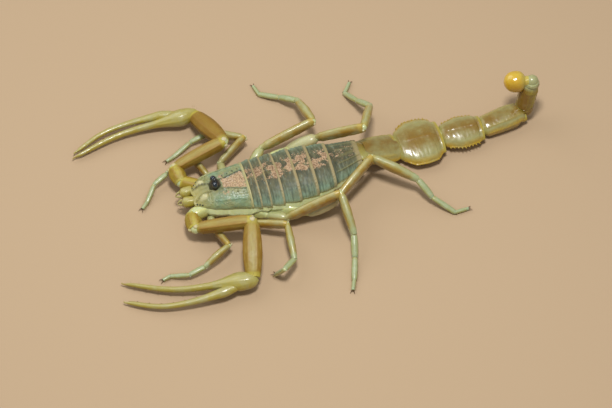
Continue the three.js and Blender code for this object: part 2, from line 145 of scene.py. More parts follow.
def addPoints(pile, points, place, lie, keel=0.0, pale=0.0, dust=0.0):
    count = len(points)
    first = pile["count"]
    pile["points"].append(points)
    for key, value in (("place", place), ("lie", lie)):
        pile[key].append(np.broadcast_to(value, (count, 3)))
    for key, value in (("keel", keel), ("pale", pale), ("dust", dust)):
        pile[key].append(np.broadcast_to(np.asarray(value, float), (count,)))
    pile["count"] += count
    return first


def addFaces(pile, first, faces):
    pile["faces"].append((first, faces))


def gridFaces(rows, columns, wrap):
    i, j = np.meshgrid(np.arange(rows - 1), np.arange(columns if wrap else columns - 1), indexing="ij")
    k = (j + 1) % columns
    near, far = i * columns, (i + 1) * columns
    return np.stack([near + j, near + k, far + k, far + j], -1).reshape(-1, 4)


def addRings(pile, rings, place, lie, keel=0.0, pale=0.0, dust=0.0):
    # A closed tube from rings of points, with a fan over each end.
    count, sides = rings.shape[:2]
    shades = [np.broadcast_to(value, (count, sides)).reshape(-1) for value in (keel, pale, dust)]
    first = addPoints(pile, rings.reshape(-1, 3), place.reshape(-1, 3), lie.reshape(-1, 3), *shades)
    addFaces(pile, first, gridFaces(count, sides, True))
    turn = np.arange(sides)
    for row, order in ((0, -1), (count - 1, 1)):
        hub = addPoints(pile, rings[row].mean(0)[None], place[row].mean(0), lie[row].mean(0))
        ring = first + row * sides + turn
        fan = np.stack([ring, np.roll(ring, -order), np.full(sides, hub)], -1)
        addFaces(pile, 0, fan)


def makePiece(name, pile, skin, nodes=()):
    faces = []
    for first, block in pile["faces"]:
        faces.extend((block + first).tolist())
    mesh = bpy.data.meshes.new(name)
    mesh.from_pydata((np.concatenate(pile["points"]) * mm).tolist(), [], faces)
    for key in ("place", "lie"):
        made = mesh.attributes.new(key, "FLOAT_VECTOR", "POINT")
        made.data.foreach_set("vector", np.concatenate(pile[key]).astype(np.float32).ravel())
    for key in ("keel", "pale", "dust"):
        made = mesh.attributes.new(key, "FLOAT", "POINT")
        made.data.foreach_set("value", np.concatenate(pile[key]).astype(np.float32))
    mesh.materials.append(skin["material"])
    mesh.polygons.foreach_set("use_smooth", np.ones(len(mesh.polygons), bool))
    # Every shell faces outwards.
    shells = bmesh.new()
    shells.from_mesh(mesh)
    bmesh.ops.recalc_face_normals(shells, faces=shells.faces)
    shells.to_mesh(mesh)
    shells.free()
    piece = bpy.data.objects.new(name, mesh)
    bpy.context.scene.collection.objects.link(piece)
    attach(piece, "root")
    if nodes:
        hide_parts(*nodes)
    return piece


def smoothStep(value, low, high):
    share = np.clip((value - low) / (high - low), 0, 1)
    return share * share * (3 - 2 * share)


def signedPower(value, power):
    return np.sign(value) * np.abs(value) ** power


shell = {
    # How a ridge fades at its ends, how deep its notches are and how square its teeth.
    "ridgeFade": 0.08, "notch": 0.65, "toothPower": 0.8,
    # Ripples to the millimetre along the shell and to the radius round it.
    "rippleAlong": 1.7, "rippleRound": 3.1,
    # How far the end rings stand out of the ends, and how small the last one is.
    "rootPush": (-0.10, -0.04), "endPush": (0.06, 0.02), "rootInner": 0.6, "endInner": 0.62,
}


def addTube(pile, line, widths, heights, sides=28, power=(1.0, 1.0), ridges=(), shares=None, root=0.8,
            lip=0.08, ripple=0.0, place=(0.0, 1.0), pale=0.0, flat=None):
    # A shell round a centre line. ridges: angle, height and spread, with teeth of a given pitch.
    count = len(line)
    steps = np.linalg.norm(np.diff(line, axis=0), axis=1)
    travel = np.concatenate([[0], np.cumsum(steps)])
    shares = travel / travel[-1] if shares is None else shares
    along = np.gradient(line, axis=0)
    along /= np.linalg.norm(along, axis=1)[:, None]
    across = np.cross(zUp, along)
    across /= np.linalg.norm(across, axis=1)[:, None]
    above = np.cross(along, across)
    angle = np.linspace(0, 2 * math.pi, sides, endpoint=False)
    c, s = np.cos(angle), np.sin(angle)
    sideways = signedPower(c, power[0])[None] * widths[:, None]
    upward = signedPower(s, power[1])[None] * heights[:, None]
    keel = np.zeros((count, sides))
    for ridge in ridges:
        turn = np.degrees(np.angle(np.exp(1j * (angle - math.radians(ridge["angle"])))))
        crest = np.exp(-(turn / ridge["spread"]) ** 2)
        low, high = ridge.get("span", (0.06, 0.94))
        run = shell["ridgeFade"]
        fade = smoothStep(shares, low, low + run) * (1 - smoothStep(shares, high - run, high))
        teeth = 1.0
        if ridge.get("pitch"):
            wave = np.abs(np.sin(math.pi * travel / ridge["pitch"]))
            teeth = 1 - shell["notch"] + shell["notch"] * wave ** shell["toothPower"]
        lift = ridge["height"] * crest[None] * (fade * teeth)[:, None]
        sideways = sideways + lift * c[None]
        upward = upward + lift * s[None]
        keel = np.maximum(keel, crest[None] * fade[:, None] * ridge.get("tint", 1.0))
    if ripple:
        # Each shell of a pile gets ripples of its own.
        shift = len(pile["points"])
        for i in range(count):
            for j in range(sides):
                around = np.array([c[j], s[j]]) * shell["rippleRound"]
                spot = (travel[i] * shell["rippleAlong"], around[0], around[1] + shift)
                wave = ripple * noise.noise(Vector(spot))
                sideways[i, j] += wave * c[j]
                upward[i, j] += wave * s[j]
    rings = line[:, None] + sideways[..., None] * across[:, None] + upward[..., None] * above[:, None]
    if flat is not None:
        rings[..., 2] = np.maximum(rings[..., 2], flat)
    reach = place[0] + (place[1] - place[0]) * shares
    spots = np.stack(np.broadcast_arrays(reach[:, None], c[None], s[None]), -1)
    girth = 2 * math.pi * max(widths.max(), heights.max())
    unrolled = angle / (2 * math.pi) * girth
    lie = np.stack(np.broadcast_arrays(travel[:, None], unrolled[None], 0.0), -1)
    # Rounded closings: the root narrows into the joint and the far end turns in behind a lip.
    closings = []
    for row, scales, pushes in (
        (0, (root * shell["rootInner"], root), shell["rootPush"]),
        (-1, (1.0 - lip, shell["endInner"]), shell["endPush"]),
    ):
        ends = [line[row] + (rings[row] - line[row]) * a + along[row] * b for a, b in zip(scales, pushes)]
        closings.append(np.array(ends))
    rings = np.concatenate([closings[0], rings, closings[1]])
    index = np.clip(np.arange(-2, count + 2), 0, count - 1)
    addRings(pile, rings, spots[index], lie[index], keel[index], pale)


def straightLine(start, end, count, bow=0.0, low=0.0, high=1.0):
    # Points from start to end, closer together near the ends, with a slight upward bow.
    shares = low + (high - low) * (1 - np.cos(np.linspace(0, math.pi, count))) / 2
    line = start + (end - start) * shares[:, None]
    line[:, 2] += bow * np.sin(math.pi * np.clip(shares, 0, 1))
    return line, shares


def addBead(pile, centre, radii, rings=6, sides=10, keel=0.0, pale=0.0, place=(0.5, 0.0, 1.0), dust=0.0):
    # An ellipsoid, closed by a fan at each pole.
    rise = np.linspace(0, math.pi, rings + 1)[1:-1]
    turn = np.linspace(0, 2 * math.pi, sides, endpoint=False)
    around = np.stack([
        np.sin(rise)[:, None] * np.cos(turn)[None],
        np.sin(rise)[:, None] * np.sin(turn)[None],
        -np.cos(rise)[:, None] * np.ones(sides)[None],
    ], -1)
    points = (centre + around * np.asarray(radii)).reshape(-1, 3)
    first = addPoints(pile, points, place, points, keel, pale, dust)
    addFaces(pile, first, gridFaces(rings - 1, sides, True))
    for row, order, sign in ((0, -1, -1), (rings - 2, 1, 1)):
        pole = centre + np.array([0, 0, sign * radii[2]])
        hub = addPoints(pile, pole[None], place, pole[None], keel, pale, dust)
        ring = first + row * sides + np.arange(sides)
        addFaces(pile, 0, np.stack([ring, np.roll(ring, -order), np.full(sides, hub)], -1))


def addSpike(pile, base, tip, radius, sides=5, bend=0.0, steps=3, keel=0.0, pale=0.0, place=(0.5, 0.0, 1.0),
             tipShare=0.12):
    # A tapered, slightly bent spine, bristle, tooth or claw.
    shares = np.linspace(0, 1, steps + 1)
    line = base + (tip - base) * shares[:, None] + bend * (np.sin(math.pi * shares))[:, None]
    along = unit(tip - base)
    guess = zUp if abs(along[2]) < 0.9 else np.array([1.0, 0.0, 0.0])
    across = unit(np.cross(guess, along))
    above = np.cross(along, across)
    turn = np.linspace(0, 2 * math.pi, sides, endpoint=False)
    size = radius * (1 - (1 - tipShare) * shares ** 1.3)
    ring = np.cos(turn)[:, None] * across + np.sin(turn)[:, None] * above
    rings = line[:, None] + size[:, None, None] * ring[None]
    addRings(pile, rings, np.broadcast_to(place, rings.shape), rings, keel, pale)


# Finishes

def linear(code):
    # An sRGB hex colour as linear values.
    parts = [int(code[i:i + 2], 16) / 255 for i in (1, 3, 5)]
    return tuple(v / 12.92 if v <= 0.04045 else ((v + 0.055) / 1.055) ** 2.4 for v in parts) + (1.0,)


def add(tree, kind, inputs=None, stops=None, **settings):
    # Adds a node with its settings, its colour stops and its links.
    made = tree.nodes.new(kind)
    for key, value in settings.items():
        setattr(made, key, value)
    for socket, value in (inputs or {}).items():
        if isinstance(value, bpy.types.NodeSocket):
            tree.links.new(value, made.inputs[socket])
        else:
            made.inputs[socket].default_value = value
    for i, (position, code) in enumerate(stops or ()):
        marks = made.color_ramp.elements
        mark = marks[i] if i < 2 else marks.new(position)
        mark.position = position
        mark.color = linear(code)
    return made


# What a cuticle has where its own look says nothing else.
plainLook = {
    "rootShare": 0.8, "endShare": 0.85, "bellyShare": 0.8, "paleTint": "#cfc6a4",
    "dimple": 0.35, "grain": 0.35,
    "ior": 1.5, "coat": 0.5, "coatRoughness": 0.14, "glow": 0.18, "glowDepth": 0.7,
}
sand = {
    # Grain and clump sizes, and the least and most dust at which a patch closes up.
    "grain": 0.22, "clump": 0.75, "closes": (1.16, 1.3), "cover": 0.9, "dull": 0.55,
    "shades": [(0.32, "#66503c"), (0.7, "#d2b89a"), (0.48, "#b0906f")],
}


def makeCuticle(name, ownLook):
    # Tanned insect-like cuticle: a clear waxed skin over pigment, so gloss sits on soft, deep colour.
    look = dict(plainLook, **ownLook)
    material = bpy.data.materials.new(name)
    material.use_nodes = True
    tree = material.node_tree
    shader = tree.nodes["Principled BSDF"]
    where = add(tree, "ShaderNodeAttribute", attribute_name="place")
    place = add(tree, "ShaderNodeSeparateXYZ", {0: where.outputs["Vector"]})
    along, side, top = place.outputs
    keel = add(tree, "ShaderNodeAttribute", attribute_name="keel").outputs["Fac"]
    pale = add(tree, "ShaderNodeAttribute", attribute_name="pale").outputs["Fac"]
    dust = add(tree, "ShaderNodeAttribute", attribute_name="dust").outputs["Fac"]
    lie = add(tree, "ShaderNodeAttribute", attribute_name="lie").outputs["Vector"]
    spot = add(tree, "ShaderNodeTexCoord").outputs["Object"]
    # Pigment clouds, a few millimetres wide.
    cloud = add(tree, "ShaderNodeTexNoise", {
        "Vector": spot, "Scale": 1 / (look["cloudSize"] * mm),
        "Detail": 3.0, "Roughness": 0.55}).outputs["Fac"]
    # Fine streaks, drawn out along the muscles under the plate.
    length, width = look["streak"]
    stretch = add(tree, "ShaderNodeVectorMath", {
        0: lie, 1: (1 / length, 1 / width, 1.0)}, operation="MULTIPLY")
    streak = add(tree, "ShaderNodeTexNoise", {
        "Vector": stretch.outputs[0], "Scale": 1.0, "Detail": 4.0, "Roughness": 0.6}).outputs["Fac"]
    # Colour across a shell, from its middle (0) to its sides (1). On the limbs the deeper amber towards the
    # sides is painted shade of the silhouette, where light crosses more cuticle; the keels add their own
    # amber in the keel layer.
    sideways = add(tree, "ShaderNodeMath", {0: side}, operation="ABSOLUTE").outputs[0]
    colour = add(tree, "ShaderNodeValToRGB", {0: sideways}, stops=look["across"]).outputs[0]
    # Layers of pigment: what each follows, where it starts, where it is full, its most, its colour.
    layers = (
        (cloud, 0.42, 0.66, look["clouding"], look["cloud"], "SMOOTHSTEP"),
        (streak, 0.48, 0.62, look["streaking"], look["streakTint"], "SMOOTHSTEP"),
        (streak, 0.46, 0.34, look["streaking"] * 0.55, look["streakLight"], "SMOOTHSTEP"),
        (along, look["rootReach"], 0.0, look["rootShare"], look["root"], "SMOOTHSTEP"),
        (along, 1 - look["endReach"], 1 - look["endReach"] * 0.45,
         look["endShare"], look["end"], "SMOOTHSTEP"),
        (keel, 0.0, 1.0, look["keelShare"], look["keel"], "LINEAR"),
        (top, -0.1, -0.75, look["bellyShare"], look["belly"], "SMOOTHSTEP"),
        (pale, 0.0, 1.0, 1.0, look["paleTint"], "LINEAR"),
    )
    for value, low, high, most, code, easing in layers:
        share = add(tree, "ShaderNodeMapRange", {
            "Value": value, 1: low, 2: high, 4: most}, interpolation_type=easing).outputs["Result"]
        colour = add(tree, "ShaderNodeMix", {
            "Factor": share, 6: colour, 7: linear(code)}, data_type="RGBA").outputs[2]
    # Dry sand dust lies in patches and kills the gloss there.
    grit = add(tree, "ShaderNodeTexNoise", {
        "Vector": spot, "Scale": 1 / (sand["grain"] * mm), "Detail": 3.0}).outputs["Fac"]
    clump = add(tree, "ShaderNodeTexNoise", {
        "Vector": spot, "Scale": 1 / (sand["clump"] * mm), "Detail": 4.0, "Roughness": 0.7}).outputs["Fac"]
    ragged = add(tree, "ShaderNodeMath", {
        0: grit, 1: 0.4, 2: clump}, operation="MULTIPLY_ADD", use_clamp=True).outputs[0]
    heaped = add(tree, "ShaderNodeMath", {0: dust, 1: ragged}, operation="ADD").outputs[0]
    dusted = add(tree, "ShaderNodeMapRange", {
        "Value": heaped, 1: sand["closes"][0], 2: sand["closes"][1]},
        interpolation_type="SMOOTHSTEP").outputs["Result"]
    sandColour = add(tree, "ShaderNodeValToRGB", {0: grit}, stops=sand["shades"]).outputs[0]
    covered = add(tree, "ShaderNodeMath", {0: dusted, 1: sand["cover"]}, operation="MULTIPLY").outputs[0]
    colour = add(tree, "ShaderNodeMix", {
        "Factor": covered, 6: colour, 7: sandColour}, data_type="RGBA").outputs[2]
    tree.links.new(colour, shader.inputs["Base Color"])
    # The skin's own grain, finer in life, is drawn at 0.12 mm so that it shows.
    grain = add(tree, "ShaderNodeTexNoise", {"Vector": spot, "Scale": 1 / (0.12 * mm), "Detail": 2.0})
    dimple = add(tree, "ShaderNodeTexVoronoi", {"Vector": spot, "Scale": 1 / (look["dimple"] * mm)})
    relief = add(tree, "ShaderNodeMath", {
        0: grain.outputs["Fac"], 1: dimple.outputs["Distance"]}, operation="ADD").outputs[0]
    gritty = add(tree, "ShaderNodeMath", {0: dusted, 1: grit}, operation="MULTIPLY").outputs[0]
    height = add(tree, "ShaderNodeMath", {
        0: relief, 1: 0.5, 2: gritty}, operation="MULTIPLY_ADD").outputs[0]
    bump = add(tree, "ShaderNodeBump", {
        "Height": height, "Strength": look["grain"], "Distance": 0.06 * mm})
    tree.links.new(bump.outputs[0], shader.inputs["Normal"])
    low, high = look["roughness"]
    waxed = add(tree, "ShaderNodeMapRange", {
        "Value": cloud, 1: 0.3, 2: 0.7, 3: low, 4: high}, interpolation_type="SMOOTHSTEP").outputs["Result"]
    rough = add(tree, "ShaderNodeMath", {
        0: dusted, 1: sand["dull"], 2: waxed}, operation="MULTIPLY_ADD").outputs[0]
    tree.links.new(rough, shader.inputs["Roughness"])
    shader.inputs["IOR"].default_value = look["ior"]
    shader.inputs["Coat Weight"].default_value = look["coat"]
    shader.inputs["Coat Roughness"].default_value = look["coatRoughness"]
    shader.inputs["Subsurface Weight"].default_value = look["glow"]
    shader.inputs["Subsurface Radius"].default_value = (1.0, 0.75, 0.35)
    shader.inputs["Subsurface Scale"].default_value = look["glowDepth"] * mm
    return {"material": material, "slot": look["slot"]}


# Back plates: thick grey-green exocuticle with muscle streaks, dull where sand clings to it.
backLook = {
    "slot": "back_plate",
    "across": [(0.0, "#4c452c"), (1.0, "#a8ba94"), (0.35, "#5c6149"), (0.75, "#88a088")],
    "cloud": "#6f6a48", "cloudSize": 1.9, "clouding": 0.45,
    "streak": (0.45, 3.2), "streaking": 0.5, "streakTint": "#34433a", "streakLight": "#8ea597",
    "root": "#3a4032", "rootReach": 0.22, "end": "#a9986a", "endReach": 0.2, "endShare": 0.7,
    "keel": "#8f8a58", "keelShare": 0.5, "belly": "#b9bd82", "paleTint": "#cfc68f",
    "roughness": (0.52, 0.66), "coat": 0.06, "coatRoughness": 0.3, "ior": 1.4, "glow": 0.08,
}
# Head shield: the same cuticle, thinner and paler, over yellow tissue at the front.
shieldLook = {
    "slot": "carapace_plate",
    "across": [(0.0, "#74774e"), (1.0, "#96a678"), (0.5, "#78906e")],
    "cloud": "#9a9058", "cloudSize": 2.2, "clouding": 0.5,
    "streak": (1.6, 0.8), "streaking": 0.35, "streakTint": "#5d7566", "streakLight": "#a9bca0",
    "root": "#a39a58", "rootReach": 0.5, "rootShare": 0.9, "end": "#b3aa76", "endReach": 0.06,
    "keel": "#26231c", "keelShare": 0.95, "belly": "#b9bd82", "roughness": (0.36, 0.5), "coat": 0.2,
    "coatRoughness": 0.25, "glow": 0.15, "paleTint": "#bfba8c",
}
# Soft flank skin and belly plates: thin, unpigmented cuticle, yellow-green and slightly glassy.
flankLook = {
    "slot": "back_plate",
    "across": [(0.0, "#c6ca96"), (1.0, "#d0d5a4")],
    "cloud": "#b2c2a2", "cloudSize": 2.5, "clouding": 0.5,
    "streak": (0.8, 1.5), "streaking": 0.25, "streakTint": "#a5a86a", "streakLight": "#dfe2bd",
    "root": "#c2c58a", "rootReach": 0.01, "end": "#c2c58a", "endReach": 0.01,
    "keel": "#dfe0b8", "keelShare": 0.6, "belly": "#c9c58e", "paleTint": "#d6dc9e",
    "roughness": (0.3, 0.45), "glow": 0.2,
}
# Hips: pale green, clear as wax, going yellow at the rims.
hipLook = {
    "slot": "carapace_plate",
    "across": [(0.0, "#c3c994"), (1.0, "#b3ab58"), (0.6, "#c2c78c")],
    "cloud": "#a8bf98", "cloudSize": 2.2, "clouding": 0.5,
    "streak": (1.5, 0.4), "streaking": 0.25, "streakTint": "#a09a4a", "streakLight": "#dde3be",
    "root": "#b9c08a", "rootReach": 0.2, "end": "#c3c47e", "endReach": 0.08,
    "keel": "#c9c878", "keelShare": 0.7, "belly": "#c4bd7c", "roughness": (0.24, 0.36), "glow": 0.2,
}
# Pincer arms: thick amber cuticle, browner along the keels and towards the sides, paler olive-green over
# the top; the browner sides are partly the keels' own colour and partly painted shade of the silhouette.
armLook = {
    "slot": "amber_cuticle",
    "across": [(0.0, "#9c8d4a"), (1.0, "#87600a"), (0.5, "#937626")],
    "cloud": "#a08c3c", "cloudSize": 2.6, "clouding": 0.5,
    "streak": (2.4, 0.35), "streaking": 0.35, "streakTint": "#87661c", "streakLight": "#b9ad66",
    "root": "#a9a04a", "rootReach": 0.12, "end": "#b1a43e", "endReach": 0.09,
    "keel": "#8a6412", "keelShare": 0.65, "belly": "#9c8024", "roughness": (0.5, 0.62), "glow": 0.18,
    "coat": 0.04, "coatRoughness": 0.3, "grain": 0.15,
}
# The short first arm segment is yellower. The right arm's last segment gets a darker, browner copy of the
# arm cuticle: painted shade on the far arm.
armRootLook = dict(armLook, across=[(0.0, "#aa9c40"), (1.0, "#98801e"), (0.5, "#a5932e")])
shadedFarArmLook = dict(
    armLook, across=[(0.0, "#8c6c1a"), (1.0, "#7d5a0a"), (0.5, "#866410")], cloud="#947a2a",
    streakLight="#a08a3c",
)
# Pincers: smooth yellow-olive cuticle with a wet shine, more saturated towards the sides, which is partly
# painted shade of the silhouette.
pincerLook = {
    "slot": "pincer_cuticle",
    "across": [(0.0, "#a89f62"), (1.0, "#a08c28"), (0.6, "#a4984a")],
    "cloud": "#a39f70", "cloudSize": 2.4, "clouding": 0.6,
    "streak": (2.8, 0.4), "streaking": 0.3, "streakTint": "#968c34", "streakLight": "#c6c484",
    "root": "#aba250", "rootReach": 0.06, "end": "#9a8038", "endReach": 0.05, "endShare": 0.6,
    "keel": "#a29a30", "keelShare": 0.4, "belly": "#a69738", "paleTint": "#6b4a20",
    "roughness": (0.3, 0.42), "coat": 0.35, "coatRoughness": 0.14, "grain": 0.2, "glow": 0.18,
}
# Thighs: green wax at the hip turning to amber towards the knee, and amber along the edges, partly from the
# keels' own colour and partly painted shade of the silhouette.
thighLook = {
    "slot": "amber_cuticle",
    "across": [(0.0, "#a99c5c"), (1.0, "#8c6612"), (0.5, "#9d8538")],
    "cloud": "#aab084", "cloudSize": 2.4, "clouding": 0.45,
    "streak": (2.6, 0.3), "streaking": 0.3, "streakTint": "#9a7f2e", "streakLight": "#d2d0a4",
    "root": "#aab07c", "rootReach": 0.32, "rootShare": 0.8, "end": "#b39a44", "endReach": 0.1,
    "keel": "#9c7620", "keelShare": 0.65, "belly": "#a28e34", "roughness": (0.3, 0.42), "coat": 0.35,
    "coatRoughness": 0.16, "glow": 0.2,
}
# Shins: grey-green, paler along the top and amber on the edges; the amber edges are partly the keels' own
# colour and partly painted shade of the silhouette.
shinLook = {
    "slot": "leg_cuticle",
    "across": [(0.0, "#a5a070"), (1.0, "#94721a"), (0.5, "#a2954e")],
    "cloud": "#a0ab84", "cloudSize": 2.2, "clouding": 0.45,
    "streak": (2.6, 0.3), "streaking": 0.25, "streakTint": "#989048", "streakLight": "#ccd3b2",
    "root": "#ac9e4e", "rootReach": 0.12, "end": "#a2ac80", "endReach": 0.2,
    "keel": "#9f7f2a", "keelShare": 0.65, "belly": "#a69b50", "roughness": (0.3, 0.42), "coat": 0.35,
    "coatRoughness": 0.16, "glow": 0.2,
}
# Feet: thin cuticle with almost no pigment, a cool mint green, yellower towards the sides, which is partly
# painted shade of the silhouette.
footLook = {
    "slot": "foot_cuticle",
    "across": [(0.0, "#9ca67c"), (1.0, "#94904a"), (0.65, "#9ca372")],
    "cloud": "#a5ad88", "cloudSize": 1.8, "clouding": 0.5,
    "streak": (2.2, 0.3), "streaking": 0.2, "streakTint": "#94a878", "streakLight": "#cbdcc2",
    "root": "#a09c5c", "rootReach": 0.14, "end": "#9aa880", "endReach": 0.1,
    "keel": "#a09c50", "keelShare": 0.5, "belly": "#a6a768", "roughness": (0.32, 0.45), "glow": 0.22,
    "coat": 0.25, "coatRoughness": 0.2,
}
# Tail: hard amber-olive cuticle, clear enough for the paler inside to show in clouds.
tailLook = {
    "slot": "tail_cuticle",
    "across": [(0.0, "#7f611c"), (1.0, "#b08e18"), (0.4, "#877030"), (0.8, "#a09c66")],
    "cloud": "#92905c", "cloudSize": 3.6, "clouding": 0.5,
    "streak": (1.4, 1.1), "streaking": 0.2, "streakTint": "#75591a", "streakLight": "#b9b584",
    "root": "#9f9a50", "rootReach": 0.12, "end": "#aa9a36", "endReach": 0.05, "endShare": 0.8,
    "keel": "#a98c1c", "keelShare": 0.7, "belly": "#a08420", "roughness": (0.3, 0.42), "coat": 0.45,
    "coatRoughness": 0.14, "glow": 0.2, "dimple": 0.5,
}
# Last tail segment: the thickest and brownest cuticle.
tailEndLook = dict(
    tailLook, across=[(0.0, "#7c5c14"), (1.0, "#8f7d1f"), (0.6, "#76560e")], cloud="#8f8450", clouding=0.3,
    root="#927523", rootReach=0.2, end="#a7ac7c", endReach=0.2, keel="#a0912a",
)
# Sting bulb: smooth, swollen and full of light, yellow-amber like candied peel.
stingLook = {
    "slot": "sting_cuticle",
    "across": [(0.0, "#ccae3a"), (1.0, "#ae840e"), (0.6, "#c49f20")],
    "cloud": "#d9b02c", "cloudSize": 2.6, "clouding": 0.4,
    "streak": (2.5, 0.8), "streaking": 0.12, "streakTint": "#a87a0c", "streakLight": "#e0c04a",
    "root": "#b5ae58", "rootReach": 0.3, "end": "#3a1d0a", "endReach": 0.12,
    "keel": "#b08a10", "keelShare": 0.3, "belly": "#c0900e", "roughness": (0.14, 0.22), "coat": 0.9,
    "coatRoughness": 0.05, "glow": 0.25, "grain": 0.15,
}
# Claw and tooth tips: dark, fully hardened cuticle, almost black-brown.
clawLook = dict(
    footLook, across=[(0.0, "#5a3a1c"), (1.0, "#4a2c14")], clouding=0.0, streaking=0.1, root="#7a6234",
    end="#2a160a", belly="#4a2c14", glow=0.0,
)
# Bristles: stiff straw-coloured hairs.
bristleLook = dict(
    footLook, across=[(0.0, "#b39a62"), (1.0, "#a3894e")], clouding=0.0, streaking=0.0, root="#9a8450",
    end="#d8c796", belly="#a3894e", glow=0.0, coat=0.0, roughness=(0.45, 0.55),
)


def makeLens(name):
    # Eye lens: a clear, polished dome over black pigment, with a faint blue depth.
    material = bpy.data.materials.new(name)
    material.use_nodes = True
    tree = material.node_tree
    shader = tree.nodes["Principled BSDF"]
    spot = add(tree, "ShaderNodeTexCoord").outputs["Object"]
    depth = add(tree, "ShaderNodeTexNoise", {"Vector": spot, "Scale": 1 / (0.6 * mm), "Detail": 1.0})
    colour = add(tree, "ShaderNodeValToRGB", {0: depth.outputs["Fac"]}, stops=[
        (0.35, "#05080c"), (0.7, "#12293a")]).outputs[0]
    tree.links.new(colour, shader.inputs["Base Color"])
    shader.inputs["Roughness"].default_value = 0.06
    shader.inputs["IOR"].default_value = 1.5
    shader.inputs["Coat Weight"].default_value = 1.0
    shader.inputs["Coat Roughness"].default_value = 0.02
    return {"material": material, "slot": "eye_lens"}


def makeMound():
    # Pigmented mound round the eyes: black, finely beaded cuticle.
    return makeCuticle("blackMoundCuticle", dict(
        shieldLook, across=[(0.0, "#15130f"), (1.0, "#1d1a14")], cloud="#2c2618", streaking=0.1,
        root="#1a1712", end="#1d1a14", belly="#221d14", keel="#0e0c0a", glow=0.0, roughness=(0.25, 0.35),
        coat=0.6))


finish = {
    "back": makeCuticle("greyGreenBackCuticle", backLook),
    "shield": makeCuticle("headShieldCuticle", shieldLook),
    "flank": makeCuticle("softFlankCuticle", flankLook),
    "belly": makeCuticle("bellyPlateCuticle", dict(flankLook, paleTint="#4a3a22")),
    "hip": makeCuticle("waxyHipCuticle", hipLook),
    "arm": makeCuticle("amberArmCuticle", armLook),
    "armRoot": makeCuticle("yellowArmCuticle", armRootLook),
    "shadedFarArm": makeCuticle("shadedFarArmCuticle", shadedFarArmLook),
    "pincer": makeCuticle("glossyPincerCuticle", pincerLook),
    "thigh": makeCuticle("amberThighCuticle", thighLook),
    "shin": makeCuticle("glassyShinCuticle", shinLook),
    "foot": makeCuticle("mintFootCuticle", footLook),
    "tail": makeCuticle("amberTailCuticle", tailLook),
    "tailEnd": makeCuticle("brownTailEndCuticle", tailEndLook),
    "sting": makeCuticle("candiedStingCuticle", stingLook),
    "claw": makeCuticle("hardClawCuticle", clawLook),
    "bristle": makeCuticle("strawBristle", bristleLook),
    "mound": makeMound(),
    "lens": makeLens("blueBlackLens"),
}
print("finishes made")


# Trunk: measured once, then read by the plates, the flanks and the hips

def smoothed(values, reach):
    # Each value becomes the mean of its neighbours, as many to each side as reach says.
    window = 2 * reach + 1
    return np.convolve(np.pad(values, reach, mode="edge"), np.ones(window) / window, "valid")


ringNames = [f"mesosoma_{i}" for i in range(1, 8)]


def measureTrunk():
    # Rows of [x, middle, half width, rise above the plates' edge, fall below it], front to back.
    edge = solids["mesosoma_3"][0]
    edgeHeight = edge[np.argmax(edge[:, 1]), 2]
    head = solids["prosoma"][0]
    front = head[head[:, 2] > edgeHeight + 0.1, 0].min()
    rear = solids["mesosoma_7"][0][:, 0].max()
    mound = solids["eye_median_l"][0][:, 0].mean()
    rows = []
    for x in np.linspace(front + 0.1, rear - 0.1, 90):
        for name in ["prosoma"] + ringNames:
            low, high = solids[name][0][:, 0].min(), solids[name][0][:, 0].max()
            if not low + 0.05 < x < high - 0.05:
                continue
            cut = cutPoints(name, np.array([x, 0, 0]), np.array([1.0, 0, 0]))
            upper = cut[cut[:, 2] > edgeHeight - 0.02]
            if len(upper) < 3:
                continue
            middle = (upper[:, 1].min() + upper[:, 1].max()) / 2
            half = (upper[:, 1].max() - upper[:, 1].min()) / 2
            rise = (upper[:, 2].max() - edgeHeight) / 0.975
            # The eye mound and the hips aren't part of the trunk's own outline.
            if name == "prosoma" and abs(x - mound) < 2.6:
                rise = np.nan
            hasHips = name in ("prosoma", "mesosoma_1")
            fall = np.nan if hasHips else edgeHeight - cut[:, 2].min()
            rows.append([x, middle, half, rise, fall])
            break
    rows = np.array(rows)
    for column in (3, 4):
        good = ~np.isnan(rows[:, column])
        rows[:, column] = np.interp(rows[:, 0], rows[good, 0], rows[good, column])
    # The solid's facets are smoothed away.
    for column in (1, 2, 3, 4):
        rows[:, column] = smoothed(rows[:, column], 4)
    return rows, edgeHeight, front, rear


trunkRows, edgeHeight, trunkFront, trunkRear = measureTrunk()
ringEnds = []
for ringName in ringNames:
    upperX = solids[ringName][0][solids[ringName][0][:, 2] > edgeHeight, 0]
    ringEnds.append((upperX.min(), upperX.max()))
shieldRear = ringEnds[0][0]


def trunkAt(x):
    return [np.interp(x, trunkRows[:, 0], trunkRows[:, k]) for k in (1, 2, 3, 4)]


def backPoint(x, angle, lift):
    # A point on the domed back: angle 0 is the midline and 90 the plates' edge.
    middle, half, rise, _ = trunkAt(x)
    c, s = np.sin(angle), np.cos(angle)
    y = middle + np.sign(c) * (half + lift) * np.abs(c) ** 0.8
    return np.stack(np.broadcast_arrays(x, y, edgeHeight + (rise + lift) * s), -1)


def bellyPoint(x, angle, lift):
    # The same below the edge: angle 0 is the midline of the belly.
    middle, half, _, fall = trunkAt(x)
    c, s = np.sin(angle), np.cos(angle)
    y = middle + np.sign(c) * (half + lift) * np.abs(c) ** 0.8
    return np.stack(np.broadcast_arrays(x, y, edgeHeight - (fall + lift) * np.abs(s) ** 0.75), -1)


